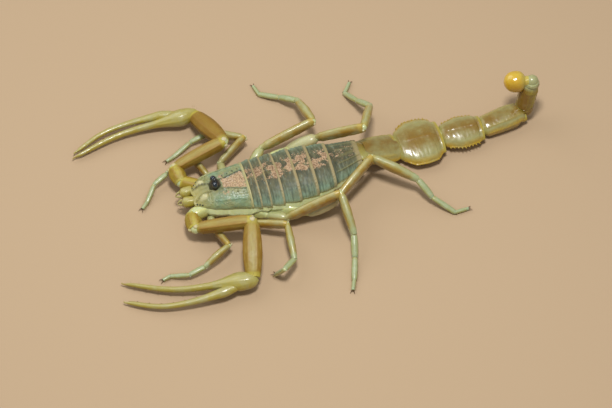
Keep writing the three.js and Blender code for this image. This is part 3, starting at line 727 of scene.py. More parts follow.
def addSheet(pile, outer, inner, place, lie, keel=0.0, pale=0.0, dust=0.0):
    # A plate with thickness: two grids and the strip round their edge.
    rows, columns = outer.shape[:2]
    both = np.concatenate([outer.reshape(-1, 3), inner.reshape(-1, 3)])
    spots = [np.tile(value.reshape(-1, 3), (2, 1)) for value in (place, lie)]
    shades = [np.tile(np.broadcast_to(value, (rows, columns)).reshape(-1), 2)
              for value in (keel, pale, dust)]
    first = addPoints(pile, both, *spots, *shades)
    grid = gridFaces(rows, columns, False)
    addFaces(pile, first, grid)
    addFaces(pile, first + rows * columns, grid[:, ::-1])
    index = np.arange(rows * columns).reshape(rows, columns)
    border = np.concatenate([index[0], index[1:, -1], index[-1, -2::-1], index[-2:0:-1, 0]])
    after = np.roll(border, -1)
    lower = border + rows * columns
    addFaces(pile, first, np.stack([after, border, lower, np.roll(lower, -1)], -1))


def noiseGrid(points, size, octaves=2):
    flat = points.reshape(-1, 3) / size
    values = np.array([noise.fractal(Vector(p), 1.0, 2.0, octaves) for p in flat])
    return values.reshape(points.shape[:-1])


def window(value, low, high, soft=0.08):
    return smoothStep(value, low - soft, low + soft) * (1 - smoothStep(value, high - soft, high + soft))


def hump(value, centre, width, power=2):
    # A smooth bump of height 1.
    return np.exp(-((value - centre) / width) ** power)


tergite = {
    "rows": 34, "columns": 150, "reach": math.radians(86), "thickness": 0.28, "overlap": 0.45,
    "rearLift": 0.2, "beadPitch": 0.55, "beadHeight": 0.07, "rimHeight": 0.05, "frontGroove": 0.09,
    "keelHeight": 0.13, "keelWidth": 0.3, "lastKeelHeight": 0.2, "lastKeelPitch": 0.5,
    # The last plate's keels: how far out they run, and from where to where.
    "lastKeels": ((0.34, (0.25, 0.95)), (0.66, (0.15, 0.98))),
    "roughness": 0.05, "roughSize": 1.1, "fineSize": 0.32, "pleatHeight": 0.035, "pleatPitch": 0.42,
    "dustShare": (0.8, 0.95, 1.06, 1.16, 1.2, 1.15, 0.7), "dustSize": 1.25,
}


def makeTergite(i):
    start, end = ringEnds[i]
    last = i == len(ringNames) - 1
    u = np.linspace(0, 1, tergite["rows"] * (2 if last else 1))[:, None]
    v = np.linspace(-1, 1, tergite["columns"])[None]
    x = start - 0.2 + (end - start + 0.2 + (0.1 if last else tergite["overlap"])) * u
    angle = v * tergite["reach"]
    half = trunkAt(x)[1]
    arc = np.sin(np.abs(angle)) ** 0.8 * half * np.sign(v)
    lift = np.zeros_like(arc) - 0.12 + (0.12 + tergite["rearLift"]) * smoothStep(u, 0.0, 0.9)
    lift = lift - tergite["frontGroove"] * hump(u, 0.2, 0.05) + tergite["rimHeight"] * hump(u, 0.97, 0.03)
    beads = 0.5 + 0.5 * np.cos(2 * math.pi * arc / tergite["beadPitch"])
    lift = lift + tergite["beadHeight"] * beads * hump(u, 0.9, 0.04)
    # A low keel down the middle, and on the last plate two pairs of strong ones.
    crest = hump(arc, 0, tergite["keelWidth"]) * window(u, 0.3, 0.9)
    lift = lift + tergite["keelHeight"] * crest
    keel = 0.6 * crest
    if last:
        teeth = 0.5 + 0.5 * np.abs(np.sin(math.pi * (x - start) / tergite["lastKeelPitch"]))
        for offset, span in tergite["lastKeels"]:
            ridge = hump(np.abs(arc) / half, offset, 0.035) * window(u, *span)
            lift = lift + tergite["lastKeelHeight"] * ridge * teeth
            keel = np.maximum(keel, ridge * 0.8)
    outer = backPoint(x, angle, lift)
    rough = noiseGrid(outer, tergite["roughSize"])
    fine = np.clip(noiseGrid(outer, tergite["fineSize"], 1) - 0.1, 0, 1)
    lift = lift + tergite["roughness"] * (rough + fine)
    # Longitudinal pleats on the flanks, where the plate is thin.
    pleats = np.sin(x / tergite["pleatPitch"] * math.pi) * smoothStep(np.abs(v), 0.35, 0.7)
    lift = lift + tergite["pleatHeight"] * pleats
    outer = backPoint(x, angle, lift)
    inner = backPoint(x, angle, lift - tergite["thickness"])
    # Sand lies thickest along the middle, in ragged patches that are drawn out towards the tail.
    patch = noiseGrid(outer * np.array([0.7, 1.0, 0.6]), tergite["dustSize"], 3)
    centred = hump(arc / half, 0.1, 0.42, 4)
    dust = centred * tergite["dustShare"][i] * (0.56 + 0.75 * patch) * (1 - smoothStep(u, 0.84, 0.93))
    place = np.stack(np.broadcast_arrays(u, np.abs(v) ** 1.2 * np.sign(v), 1.0), -1)
    lie = np.stack(np.broadcast_arrays(x, arc * 1.6, 0.0), -1)
    # A pale strip along each plate's side edge: painted highlight.
    pale = 0.75 * smoothStep(np.abs(v), 0.955, 0.995)
    pile = newPile()
    addSheet(pile, outer, inner, place, lie, keel, pale, np.clip(dust, 0, 1))
    makePiece(f"tergite_{i + 1}", pile, finish["back"], [ringNames[i]])
    return outer, dust


tergites = [makeTergite(i) for i in range(len(ringNames))]

grains = {"count": 1300, "seed": 17, "smallest": 0.05, "largest": 0.12}


def makeGrains():
    # Loose sand grains stick in the dust.
    spots = np.concatenate([outer.reshape(-1, 3) for outer, _ in tergites])
    share = np.concatenate([np.clip(dust, 0, 1).reshape(-1) for _, dust in tergites]) ** 3
    draw = np.random.default_rng(grains["seed"])
    chosen = draw.choice(len(spots), grains["count"], replace=False, p=share / share.sum())
    pile = newPile()
    for spot in spots[chosen]:
        size = random.uniform(grains["smallest"], grains["largest"])
        addBead(pile, spot + zUp * size * 0.3, [size, size * 0.8, size * 0.8], rings=3, sides=6, dust=1.0)
    makePiece("sand_grains", pile, finish["back"])


makeGrains()
print("back plates made")


shield = {
    "rows": 120, "columns": 170, "reach": math.radians(87), "thickness": 0.35, "beadPitch": 0.62,
    # Where the lobes over the side eyes swell, behind the front edge and out from the midline.
    "lobeBack": 2.35, "lobeOut": 1.75, "lobeHeight": 0.5,
    "foldBack": 3.6, "foldOut": 2.6, "foldDepth": 0.22,
    "furrowDepth": 0.4, "frontFurrowDepth": 0.16, "sideRidge": 0.12, "frontRidge": 0.3, "rearRidge": 0.24,
    "granules": 70, "granuleSize": (0.07, 0.13), "darkBeads": 9,
}


def rearRidgeLine(x, eyeX):
    # How far from the midline the ridges behind the eyes run.
    return 1.05 + 1.15 * smoothStep(x, eyeX + 1, shieldRear)


def makeShield():
    # Head shield: ridges with dark beads, a furrow behind the eyes and swollen lobes over the side eyes.
    u = np.linspace(0, 1, shield["rows"])[:, None]
    v = np.linspace(-1, 1, shield["columns"])[None]
    x = trunkFront + 0.05 + (shieldRear + 0.25 - trunkFront) * u
    angle = v * shield["reach"]
    half = trunkAt(x)[1]
    arc = np.sign(v) * np.sin(np.abs(angle)) ** 0.8 * half
    out = np.abs(arc)
    eyeX = solids["eye_median_l"][0][:, 0].mean()
    # The front edge is scooped a little at the middle and rounded at its corners.
    x = x + (1 - smoothStep(u, 0, 0.25)) * (0.35 * hump(arc, 0, 0.9) + 0.5 * np.abs(v) ** 4)
    lift = np.zeros_like(arc) + 0.10 * hump(u, 0.985, 0.015) - 0.1 * hump(u, 0.955, 0.015)
    lift = lift + 0.16 * hump(u, 0, 0.02)
    furrowWidth = 0.35 + 1.1 * smoothStep(x, eyeX + 2.5, shieldRear)
    furrow = hump(arc, 0, furrowWidth) * window(x, eyeX + 2.2, shieldRear - 0.6, 0.7)
    frontFurrow = hump(arc, 0, 0.22) * window(x, trunkFront + 0.5, eyeX - 1.6, 0.4)
    lift = lift - shield["furrowDepth"] * furrow - shield["frontFurrowDepth"] * frontFurrow
    keel = np.zeros_like(lift)
    # Ridges run forward from the eyes and back to the corners of the rear edge.
    forward = 0.85 + 0.45 * (eyeX - x) / 4
    backward = rearRidgeLine(x, eyeX)
    for line, low, high, height in (
        (forward, trunkFront + 0.6, eyeX - 0.4, shield["frontRidge"]),
        (backward, eyeX + 1.2, shieldRear - 0.3, shield["rearRidge"]),
    ):
        crest = hump(out, line, 0.2) * window(x, low, high, 0.4)
        beads = 0.45 + 0.55 * np.abs(np.sin(math.pi * x / shield["beadPitch"]))
        lift = lift + height * crest * beads
        # The ridges are tinted darker on the right than on the left: painted shade on the far side.
        keel = np.maximum(keel, crest * (0.4 + 0.5 * beads) * np.where(arc > 0, 0.95, 0.45))
    lift = lift + shield["sideRidge"] * hump(out / half, 0.74, 0.05) * window(u, 0.42, 0.9)
    # Swollen pale lobes at the front corners, with a fold behind each.
    behind = x - trunkFront
    lobes = hump(behind, shield["lobeBack"], 1.05) * hump(out, shield["lobeOut"], 0.75)
    folds = hump(behind, shield["foldBack"], 0.35) * hump(out, shield["foldOut"], 1.5)
    lift = lift + shield["lobeHeight"] * lobes - shield["foldDepth"] * folds
    probe = backPoint(x, angle, lift)
    lift = lift + 0.10 * noiseGrid(probe, 1.3) + 0.09 * np.clip(noiseGrid(probe, 0.36, 1) - 0.12, 0, 1)
    outer = backPoint(x, angle, lift)
    inner = backPoint(x, angle, lift - shield["thickness"])
    # Sand fills the furrow behind the eyes and lies in specks beside it.
    patch = noiseGrid(outer, 0.9, 3)
    bed = (1 - smoothStep(out - backward, -0.5, 0.25)) * window(x, eyeX + 1.6, shieldRear - 0.15, 0.5)
    scatter = hump(out, 2.0, 1.1) * window(x, eyeX + 0.6, eyeX + 3.0, 0.6)
    dust = bed * (0.85 + 0.35 * patch) + 0.42 * scatter * (1 + 0.9 * patch)
    # Pale over the swollen lobes, which is their own colour, and a pale strip along the side edges, which
    # is painted highlight.
    pale = np.clip(0.85 * smoothStep(lobes, 0.3, 0.8) + 0.8 * smoothStep(np.abs(v), 0.95, 0.985), 0, 1)
    place = np.stack(np.broadcast_arrays(u, v, 1.0), -1)
    lie = np.stack(np.broadcast_arrays(x, arc * 1.3, 0.0), -1)
    pile = newPile()
    addSheet(pile, outer, inner, place, lie, keel, pale, np.clip(dust, 0, 1))
    for side in (-1, 1):
        # Loose granules on the sides of the shield.
        for _ in range(shield["granules"]):
            along = random.uniform(eyeX - 2.6, shieldRear - 0.8)
            turn = side * math.radians(random.uniform(18, 62))
            size = random.uniform(*shield["granuleSize"])
            addBead(pile, backPoint(along, turn, 0.02), [size, size, size * 0.9], rings=4, sides=7,
                    pale=random.choice([0.0, 0.3, 0.6]), place=(0.7, 0.4, 1.0))
        # Larger dark beads in two staggered rows outside the rear ridges; they are darker on the right than
        # on the left, and that difference between the sides is painted shade.
        for k in range(shield["darkBeads"]):
            along = eyeX + 1.5 + k * (shieldRear - eyeX - 2.0) / (shield["darkBeads"] - 1)
            offset = rearRidgeLine(along, eyeX) + 0.75 * (k % 2)
            turn = side * math.asin(min(1.0, (offset / trunkAt(along)[1]) ** 1.25))
            size = 0.12 + 0.045 * (k % 3)
            addBead(pile, backPoint(along, turn, 0.08), [size, size, size * 0.8], rings=6, sides=10,
                    keel=0.8 if side > 0 else 0.35, place=(0.8, 0.3, 1.0))
    makePiece("head_shield", pile, finish["shield"], ["prosoma"])


makeShield()
print("head shield made")


eye = {
    "moundLength": 1.45, "moundWidth": 1.4, "moundTop": 0.78, "moundRoot": 0.35, "rings": 16, "sides": 48,
    "browBeads": 7, "browReach": (0.72, 0.5, 0.42), "trailBeads": 8,
    "sideEyes": 3, "sideEyePitch": 0.5, "sideEyeSize": (0.2, 0.17, 0.17),
}


def makeEyes():
    eyes = {side: middleOf(solids[f"eye_median_{side}"][0]) for side in "lr"}
    centre = (eyes["l"] + eyes["r"]) / 2
    top = trunkAt(centre[0])[2] + edgeHeight
    pile = newPile()
    # The mound: a low dome, notched between the eyes, with beaded brows over each.
    turn = np.linspace(0, 2 * math.pi, eye["sides"], endpoint=False)
    rings = []
    for share in np.linspace(0, 1, eye["rings"]):
        reach = math.cos(share * math.pi / 2) ** 0.7
        notch = 1 - 0.112 * hump(np.sin(turn), 0, 0.3) * (1 - share)
        height = (centre[2] + eye["moundTop"] - top) * math.sin(share * math.pi / 2)
        level = top - eye["moundRoot"] + (height + eye["moundRoot"]) * (0.1 + 0.9 * share)
        rings.append(np.stack([
            centre[0] + 0.2 + eye["moundLength"] * reach * np.cos(turn) * notch,
            centre[1] + 0.12 + eye["moundWidth"] * reach * np.sin(turn),
            np.full(eye["sides"], level),
        ], -1))
    rings = np.array(rings)
    rings += 0.05 * noiseGrid(rings, 0.3, 1)[..., None]
    addRings(pile, rings, np.broadcast_to((0.5, 0.3, 1.0), rings.shape), rings)
    forward, out, up = eye["browReach"]
    for side, sign in (("l", -1), ("r", 1)):
        for k in range(eye["browBeads"]):
            bow = math.radians(-60 + 20 * k)
            spot = eyes[side] + np.array([forward * math.sin(bow), -sign * out * math.cos(bow), up])
            addBead(pile, spot, [0.12, 0.11, 0.11], rings=4, sides=7)
        for k in range(eye["trailBeads"]):
            step = 0.1 * k
            offset = np.array([1.2 + step, sign * (0.4 + step)])
            spot = np.append(centre[:2] + offset, top + 0.25 - step / 2)
            addBead(pile, spot, [0.13, 0.13, 0.11], rings=4, sides=7)
    makePiece("eye_mound", pile, finish["mound"])
    for side in "lr":
        pile = newPile()
        low, high = solids[f"eye_median_{side}"][0].min(0), solids[f"eye_median_{side}"][0].max(0)
        addBead(pile, eyes[side], (high - low) / 2 * np.array([1.0, 1.0, 1.04]), rings=20, sides=32)
        makePiece(f"median_eye_{side}", pile, finish["lens"], [f"eye_median_{side}"])
    # Three small side eyes under each front lobe.
    for side, sign in (("l", -1), ("r", 1)):
        pile = newPile()
        for k in range(eye["sideEyes"]):
            x = trunkFront + 0.75 + eye["sideEyePitch"] * k
            spot = backPoint(x, sign * math.radians(58 + 3 * k), 0.02)
            addBead(pile, spot, eye["sideEyeSize"], rings=10, sides=14)
        makePiece(f"side_eyes_{side}", pile, finish["lens"])


makeEyes()
print("eyes made")


# Flanks, belly and hips

flank = {"rings": 170, "sides": 44, "sunk": 0.38, "frontSunk": 0.55, "pleatDepth": 0.22, "pleatWidth": 0.28,
         "bulge": 0.35, "frontBulge": 0.55, "fedBulge": 0.55, "lobePitch": 3.1, "ripple": 0.12}


def makeFlanks():
    # One soft skin round the trunk: it shows between the back plates, the belly plates and the hips.
    xs = np.linspace(trunkFront + 0.5, trunkRear - 0.25, flank["rings"])
    turn = np.linspace(-math.pi / 2, math.pi / 2, flank["sides"])
    tops = np.concatenate([np.cos(turn), -np.cos(turn)[1:-1]])
    sides = np.concatenate([np.sin(turn), np.sin(turn)[1:-1]])
    edge = np.abs(np.sin(turn))
    rings, spots = [], []
    for x in xs:
        ahead = 1 - smoothStep(x, shieldRear - 1.0, shieldRear + 1.5)
        pleat = flank["pleatDepth"] * sum(hump(x, end, flank["pleatWidth"]) for _, end in ringEnds)
        upper = backPoint(x, turn, -flank["sunk"] - flank["frontSunk"] * ahead * np.cos(turn))
        # The skin bulges over each hip and again where a fed belly swells.
        lobed = 0.8 + 0.2 * abs(math.sin(math.pi * (x - trunkFront) / flank["lobePitch"])) ** 0.6
        swell = flank["bulge"] + flank["frontBulge"] * ahead * lobed
        swell = swell + flank["fedBulge"] * hump(x, ringEnds[4][0], 5.0)
        bulge = swell * edge ** 3 * smoothStep(x, trunkFront + 0.5, trunkFront + 3.0)
        lower = bellyPoint(x, turn[::-1], 0.04 + bulge - pleat * edge ** 0.5)
        rings.append(np.concatenate([upper, lower[1:-1]]))
        share = (x - xs[0]) / (xs[-1] - xs[0])
        spots.append(np.stack([np.full(len(tops), share), sides, tops], -1))
    rings, spots = np.array(rings), np.array(spots)
    rings[..., 1:] += flank["ripple"] * noiseGrid(rings, 1.1)[..., None]
    pile = newPile()
    # A pale band along the skin's widest line, just under the plates' edge: painted highlight.
    rim = 0.6 * hump(spots[..., 2], 0, 0.3) * (spots[..., 2] < 0.1)
    addRings(pile, rings, spots, rings, pale=rim)
    makePiece("flank_skin", pile, finish["flank"])


belly = {"rows": 26, "columns": 60, "reach": math.radians(66), "thickness": 0.22, "lowest": 0.6,
         "grooveDepth": 0.08, "rimHeight": 0.05, "lungSlit": (0.16, 0.5, 0.1)}


def makeBelly():
    u = np.linspace(0, 1, belly["rows"])[:, None]
    v = np.linspace(-1, 1, belly["columns"])[None]
    angle = v * belly["reach"]
    for i in range(2, 7):
        start, end = ringEnds[i]
        x = start - 0.2 + (end - start + 0.45) * u
        lift = 0.02 + 0.12 * smoothStep(u, 0.0, 0.9) + belly["rimHeight"] * hump(u, 0.95, 0.03)
        lift = lift - belly["grooveDepth"] * hump(np.abs(v), 0.55, 0.03) * window(u, 0.15, 0.9)
        outer = bellyPoint(x, angle, lift)
        outer[..., 2] = np.maximum(outer[..., 2], belly["lowest"])
        inner = bellyPoint(x, angle, lift - belly["thickness"])
        place = np.stack(np.broadcast_arrays(u, v, 1.0), -1)
        pile = newPile()
        addSheet(pile, outer, inner, place, outer)
        if i < 6:
            # The slits of the book lungs.
            for side in (-1, 1):
                spot = bellyPoint((start + end) / 2, side * math.radians(45), 0.1)
                addBead(pile, spot, belly["lungSlit"], rings=6, sides=14, pale=1.0)
        makePiece(f"belly_plate_{i + 1}", pile, finish["belly"])


comb = {"teeth": 27, "toothLength": 1.0, "toothRadius": 0.13, "plates": 9}


def makeCombs():
    # The comb-shaped feelers under the belly: a bar of small plates with a row of rounded teeth.
    low = solids["mesosoma_1"][0]
    low = low[low[:, 2] < 0.85]
    middle = float(trunkAt(ringEnds[0][0])[0])
    for side, sign in (("l", -1), ("r", 1)):
        points = low[(low[:, 1] - middle) * sign > 0]
        root = middleOf(points[np.abs(points[:, 1] - middle) < 1.2])
        root[2] = middleOf(points)[2]
        away = np.linalg.norm(points - root, axis=1)
        far = middleOf(points[away > away.max() - 0.9])
        far[2] = root[2]
        along = unit(far - root)
        rear = np.cross(along, zUp) * sign
        length = np.linalg.norm(far - root)
        pile = newPile()
        line, shares = straightLine(root - rear * 0.25, far - rear * 0.25, 30)
        widths = 0.62 - 0.3 * shares
        addTube(pile, line, widths, widths * 0.42, sides=16, shares=shares)
        for k in range(comb["plates"]):
            spot = root + along * length * (0.06 + 0.1 * k) + rear * 0.28
            addBead(pile, spot, [0.3, 0.26, 0.2], rings=6, sides=10, pale=0.4)
        for k in range(comb["teeth"]):
            share = (k + 0.5) / comb["teeth"]
            base = root + along * length * share + rear * 0.3
            reach = comb["toothLength"] * (1 - 0.45 * share)
            tip = base + rear * reach + along * 0.15
            addSpike(pile, base, tip, comb["toothRadius"], sides=8, tipShare=0.75)
            addBead(pile, tip, [0.12, 0.12, 0.11], rings=5, sides=8)
        line, shares = straightLine(root + zUp * 1.0, root - zUp * 0.1, 8)
        addTube(pile, line, np.full(8, 0.45), np.full(8, 0.4), sides=12, shares=shares)
        makePiece(f"comb_{side}", pile, finish["flank"])


hips = {
    # How far along the shield each hip starts, from its rear edge, how far out and how high.
    "rootShare": {1: 0.68, 2: 0.48, 3: 0.29, 4: 0.14}, "spread": {1: 1.6, 2: 1.6, 3: 1.7, 4: 1.9},
    "rootHeight": {1: 2.7, 2: 2.5, 3: 2.5, 4: 2.5}, "radius": {1: 1.15, 2: 1.3, 3: 1.4, 4: 1.75},
    "taper": 0.34, "armRootShare": 0.73, "armSpread": 2.6, "armHeight": 3.2, "armRadius": 1.35,
    "keels": (
        {"angle": 58, "height": 0.16, "spread": 13, "tint": 0.5},
        {"angle": 122, "height": 0.16, "spread": 13, "tint": 0.5},
        {"angle": 0, "height": 0.1, "spread": 14}, {"angle": 180, "height": 0.1, "spread": 14},
    ),
    "armKeels": (
        {"angle": 65, "height": 0.14, "spread": 14, "pitch": 0.5},
        {"angle": 130, "height": 0.14, "spread": 14, "pitch": 0.5},
    ),
}


def hipRoot(share, sign, spread, height):
    x = shieldRear - share * (shieldRear - trunkFront)
    return np.array([x, trunkAt(x)[0] + sign * spread, height])


def makeHips():
    for side, sign in (("l", -1), ("r", 1)):
        for pair in (1, 2, 3, 4):
            root = hipRoot(hips["rootShare"][pair], sign, hips["spread"][pair], hips["rootHeight"][pair])
            end = jointBetween("prosoma", f"leg_{side}{pair}_femur")
            pile = newPile()
            line, shares = straightLine(root, end, 30, high=0.99)
            swell = 0.9 + 0.22 * np.sin(math.pi * shares) - hips["taper"] * smoothStep(shares, 0.7, 1.0)
            widths = hips["radius"][pair] * swell
            addTube(pile, line, widths, widths * 0.98, sides=32, shares=shares, ripple=0.05,
                    ridges=hips["keels"])
            makePiece(f"hip_{side}{pair}", pile, finish["hip"])
        root = hipRoot(hips["armRootShare"], sign, hips["armSpread"], hips["armHeight"])
        end = jointBetween("prosoma", f"pedipalp_{side}_trochanter")
        pile = newPile()
        line, shares = straightLine(root, end, 28, high=0.99)
        widths = hips["armRadius"] * (0.95 + 0.15 * np.sin(math.pi * shares))
        addTube(pile, line, widths, widths, sides=32, shares=shares, ripple=0.08, ridges=hips["armKeels"])
        # The right arm's hip takes the darker, yellower arm-root cuticle and the left one the pale hip
        # cuticle: the difference between the sides is painted shade on the far side.
        makePiece(f"arm_hip_{side}", pile, finish["hip" if side == "l" else "armRoot"])


makeFlanks()
makeBelly()
makeCombs()
makeHips()
print("flanks, belly and hips made")


# Limbs

def measuredLine(name, start, end, count, bow=0.0, low=0.0, high=1.0, widen=1.0):
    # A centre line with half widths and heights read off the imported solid, eased into its joints.
    rows = measureLimb(name, start, end)
    line, shares = straightLine(start, end, count, bow, low, high)
    widths = np.interp(shares, rows[:, 0], rows[:, 3]) * widen
    heights = np.interp(shares, rows[:, 0], rows[:, 4]) * widen
    neck = 1 - 0.26 * (1 - smoothStep(shares, 0.0, 0.13)) - 0.14 * smoothStep(shares, 0.9, 1.0)
    return line, shares, widths * neck, heights * neck


def addKnuckles(pile, joint, across, spread, size, pale=0.5):
    # The two pale knobs that a limb hinges on.
    for sign in (-1, 1):
        spot = joint + across * sign * spread
        addBead(pile, spot, [size, size, size * 0.9], rings=8, sides=14, pale=pale)


def sideWays(along):
    return axesAlong(unit(along))[0]


legSegments = {
    "keels": (
        {"angle": 28, "height": 0.09, "spread": 12, "pitch": 0.34},
        {"angle": 152, "height": 0.09, "spread": 12, "pitch": 0.34},
        {"angle": -35, "height": 0.08, "spread": 12, "pitch": 0.34},
        {"angle": 215, "height": 0.08, "spread": 12, "pitch": 0.34},
    ),
    "thighWiden": 1.16, "rearThighWiden": 1.4, "kneeSize": 0.3, "toeHeight": 0.44, "toeRadius": 0.42,
    "clawLength": 0.85, "clawRadius": 0.13, "bristle": 0.85, "bristleRadius": 0.03, "hairRadius": 0.022,
    # Joint skin at the hip, bend, knee, shin and ankle, for the smallest pair of legs.
    "skinSizes": (0.62, 0.6, 0.55, 0.45, 0.38),
}


def addBristle(pile, base, direction, length, radius):
    lean = np.array([random.uniform(-0.2, 0.2) for _ in range(3)])
    tip = base + unit(direction + lean) * length * random.uniform(0.75, 1.1)
    addSpike(pile, base, tip, radius, sides=4, steps=2, bend=-zUp * 0.06 * length, place=(0.6, 0.0, 1.0))


def bristleMap(piece, count):
    # Each bristle has a small patch of its own, at its root's place along the limb and round it.
    layer = piece.data.uv_layers.new(name="OFBake")
    spots = np.empty(len(piece.data.vertices) * 3)
    piece.data.vertices.foreach_get("co", spots)
    spots = spots.reshape(-1, 3)
    each = len(spots) // count
    roots = spots[np.arange(count) * each]
    low, high = roots.min(0), roots.max(0)
    share = (roots - low) / np.maximum(high - low, 1e-6)
    loops = np.empty(len(piece.data.loops), np.int32)
    piece.data.loops.foreach_get("vertex_index", loops)
    owner = np.minimum(loops // each, count - 1)
    turn = (loops % each) / each * 2 * math.pi
    u = 0.05 + 0.9 * share[owner, 0] + 0.0015 * np.cos(turn)
    v = 0.05 + 0.9 * share[owner, 1] + 0.0015 * np.sin(turn)
    layer.data.foreach_set("uv", np.stack([u, v], -1).astype(np.float32).ravel())


def makeLeg(side, pair):
    leg = f"leg_{side}{pair}"
    hip = jointBetween("prosoma", leg + "_femur")
    knee = jointBetween(leg + "_femur", leg + "_patella")
    bend = bendOf(leg + "_femur", hip, knee)
    shin = jointBetween(leg + "_patella", leg + "_tibia")
    ankle = jointBetween(leg + "_tibia", leg + "_tarsus", reach=0.7)
    toe = tipOf(leg + "_tarsus", ankle, 0.35)
    # The ball of the foot is where the sole's flat begins.
    foot = solids[leg + "_tarsus"][0]
    sole = foot[foot[:, 2] < 0.02]
    away = np.linalg.norm(sole - ankle, axis=1)
    ball = sole[np.argsort(away)[:3]].mean(0)
    ball[2] = toe[2] = legSegments["toeHeight"]
    toe = toe - unit(toe - ball) * 0.35
    # Thigh, with the short first segment that holds it
    pile = newPile()
    low, high = -0.2, 1.02
    line, shares, widths, _ = measuredLine(leg + "_femur", hip, bend, 34, low=low, high=high)
    widths = np.full(len(line), widths.max()) * (0.86 + 0.2 * np.sin(math.pi * shares))
    if pair == 4:
        widths = widths * legSegments["rearThighWiden"]
    # Both ends are rounded off.
    fromMiddle = np.abs(np.interp(shares, (low, high), (-1, 1)))
    widths = widths * np.sqrt(np.clip(1 - fromMiddle ** 7, 0.04, 1))
    addTube(pile, line, widths, widths * 0.98, shares=shares, ridges=legSegments["keels"], ripple=0.05,
            place=(0.0, 0.12), pale=0.3 if pair == 4 else 0.0)
    line, shares, widths, heights = measuredLine(
        leg + "_femur", bend, knee, 44, bow=0.12, low=-0.02, widen=legSegments["thighWiden"])
    addTube(pile, line, widths, heights, power=(0.95, 0.9), shares=shares, ridges=legSegments["keels"],
            ripple=0.04, place=(0.14, 1.0))
    addKnuckles(pile, knee, sideWays(knee - bend), widths.max() * 0.82, legSegments["kneeSize"])
    makePiece(leg + "_thigh", pile, finish["thigh"], [leg + "_femur"])
    # Shin, drawn thin at both ends
    pile = newPile()
    line, shares, widths, heights = measuredLine(leg + "_patella", knee, shin, 44, bow=0.15)
    addTube(pile, line, widths, heights, power=(0.95, 0.9), shares=shares, ridges=legSegments["keels"],
            ripple=0.04)
    addKnuckles(pile, shin, sideWays(shin - knee), widths[-4] * 0.8, 0.2, pale=0.6)
    makePiece(leg + "_shin", pile, finish["shin"], [leg + "_patella"])
    # Lower shin, then the foot with its ball and toe
    pile = newPile()
    line, shares, widths, heights = measuredLine(leg + "_tibia", shin, ankle, 30, bow=0.05)
    addTube(pile, line, widths, heights, shares=shares, ripple=0.03, ridges=legSegments["keels"][:2])
    addKnuckles(pile, ankle, sideWays(ankle - shin), widths[-4] * 0.8, 0.17, pale=0.4)
    makePiece(leg + "_lower_shin", pile, finish["foot"], [leg + "_tibia"])
    pile = newPile()
    line, shares, widths, heights = measuredLine(leg + "_tarsus", ankle, ball, 30)
    middle = len(line) // 2
    widths = np.minimum(widths, widths[middle] * 1.2)
    heights = np.minimum(heights, heights[middle] * 1.2)
    addTube(pile, line, widths, heights, shares=shares, ripple=0.03, place=(0.0, 0.6), flat=0.02)
    line, shares = straightLine(ball, toe, 24, low=-0.04)
    thick = legSegments["toeRadius"] * (1 - 0.18 * smoothStep(shares, 0.5, 1.0))
    addTube(pile, line, thick, thick, shares=shares, place=(0.6, 1.0), flat=0.02)
    makePiece(leg + "_foot", pile, finish["foot"], [leg + "_tarsus"])
    # Claws, spurs and bristles
    forward = unit(toe - ball)
    across = sideWays(forward)
    pile = newPile()
    for sign in (-1, 1):
        out = unit(forward + across * sign * 0.42)
        base = toe + across * sign * 0.16
        addSpike(pile, base, base + out * legSegments["clawLength"] - zUp * 0.22, legSegments["clawRadius"],
                 sides=8, steps=7, bend=zUp * 0.22, tipShare=0.1)
        spur = ball + across * sign * 0.6 + forward * 0.25 - zUp * 0.2
        addSpike(pile, ball + across * sign * 0.25, spur, 0.1, sides=7, steps=4)
    addSpike(pile, toe, toe + forward * 0.3 - zUp * 0.25, 0.1, sides=7, steps=4)
    if pair > 2:
        down = unit(ankle - shin)
        addSpike(pile, ankle - zUp * 0.15, ankle + down * 0.9 - zUp * 0.25, 0.12, sides=7, steps=4)
    makePiece(leg + "_claws", pile, finish["claw"])
    pile = newPile()
    bristles = 0
    # Long combs stand out behind the lower shin and the foot of the digging legs.
    for start, end, count, reach in ((shin, ankle, 12, 0.85), (ankle, ball, 18, 1.0), (ball, toe, 8, 0.6)):
        along = unit(end - start)
        out = sideWays(end - start)
        for k in range(count):
            base = start + (end - start) * (k + 0.8) / (count + 0.6)
            for sign in (-1, 1):
                if pair == 4 and k % 2:
                    continue
                direction = out * sign + along * 0.75 + zUp * (0.25 if reach > 0.7 else -0.1)
                addBristle(pile, base + out * sign * 0.34, direction, reach * legSegments["bristle"],
                           legSegments["bristleRadius"])
                bristles += 1
    for start, end in ((bend, knee), (knee, shin)):
        for k in range(9):
            base = start + (end - start) * (k + 1.0) / 10
            sign = random.choice((-1, 1))
            out = sideWays(end - start) * sign
            direction = out + zUp * 0.5 + unit(end - start) * 0.5
            addBristle(pile, base + out * 0.7, direction, 0.6, legSegments["hairRadius"])
            bristles += 1
    bristleMap(makePiece(leg + "_bristles", pile, finish["bristle"]), bristles)
    # Joint skin shows in the bends.
    pile = newPile()
    for joint, size in zip((hip, bend, knee, shin, ankle), legSegments["skinSizes"]):
        size = size * (0.85 + 0.1 * pair)
        addBead(pile, joint, [size, size, size], rings=10, sides=18)
    makePiece(leg + "_joint_skin", pile, finish["hip"])


for legSide in "lr":
    for legPair in (1, 2, 3, 4):
        makeLeg(legSide, legPair)
print("legs made")


# Pincer arms

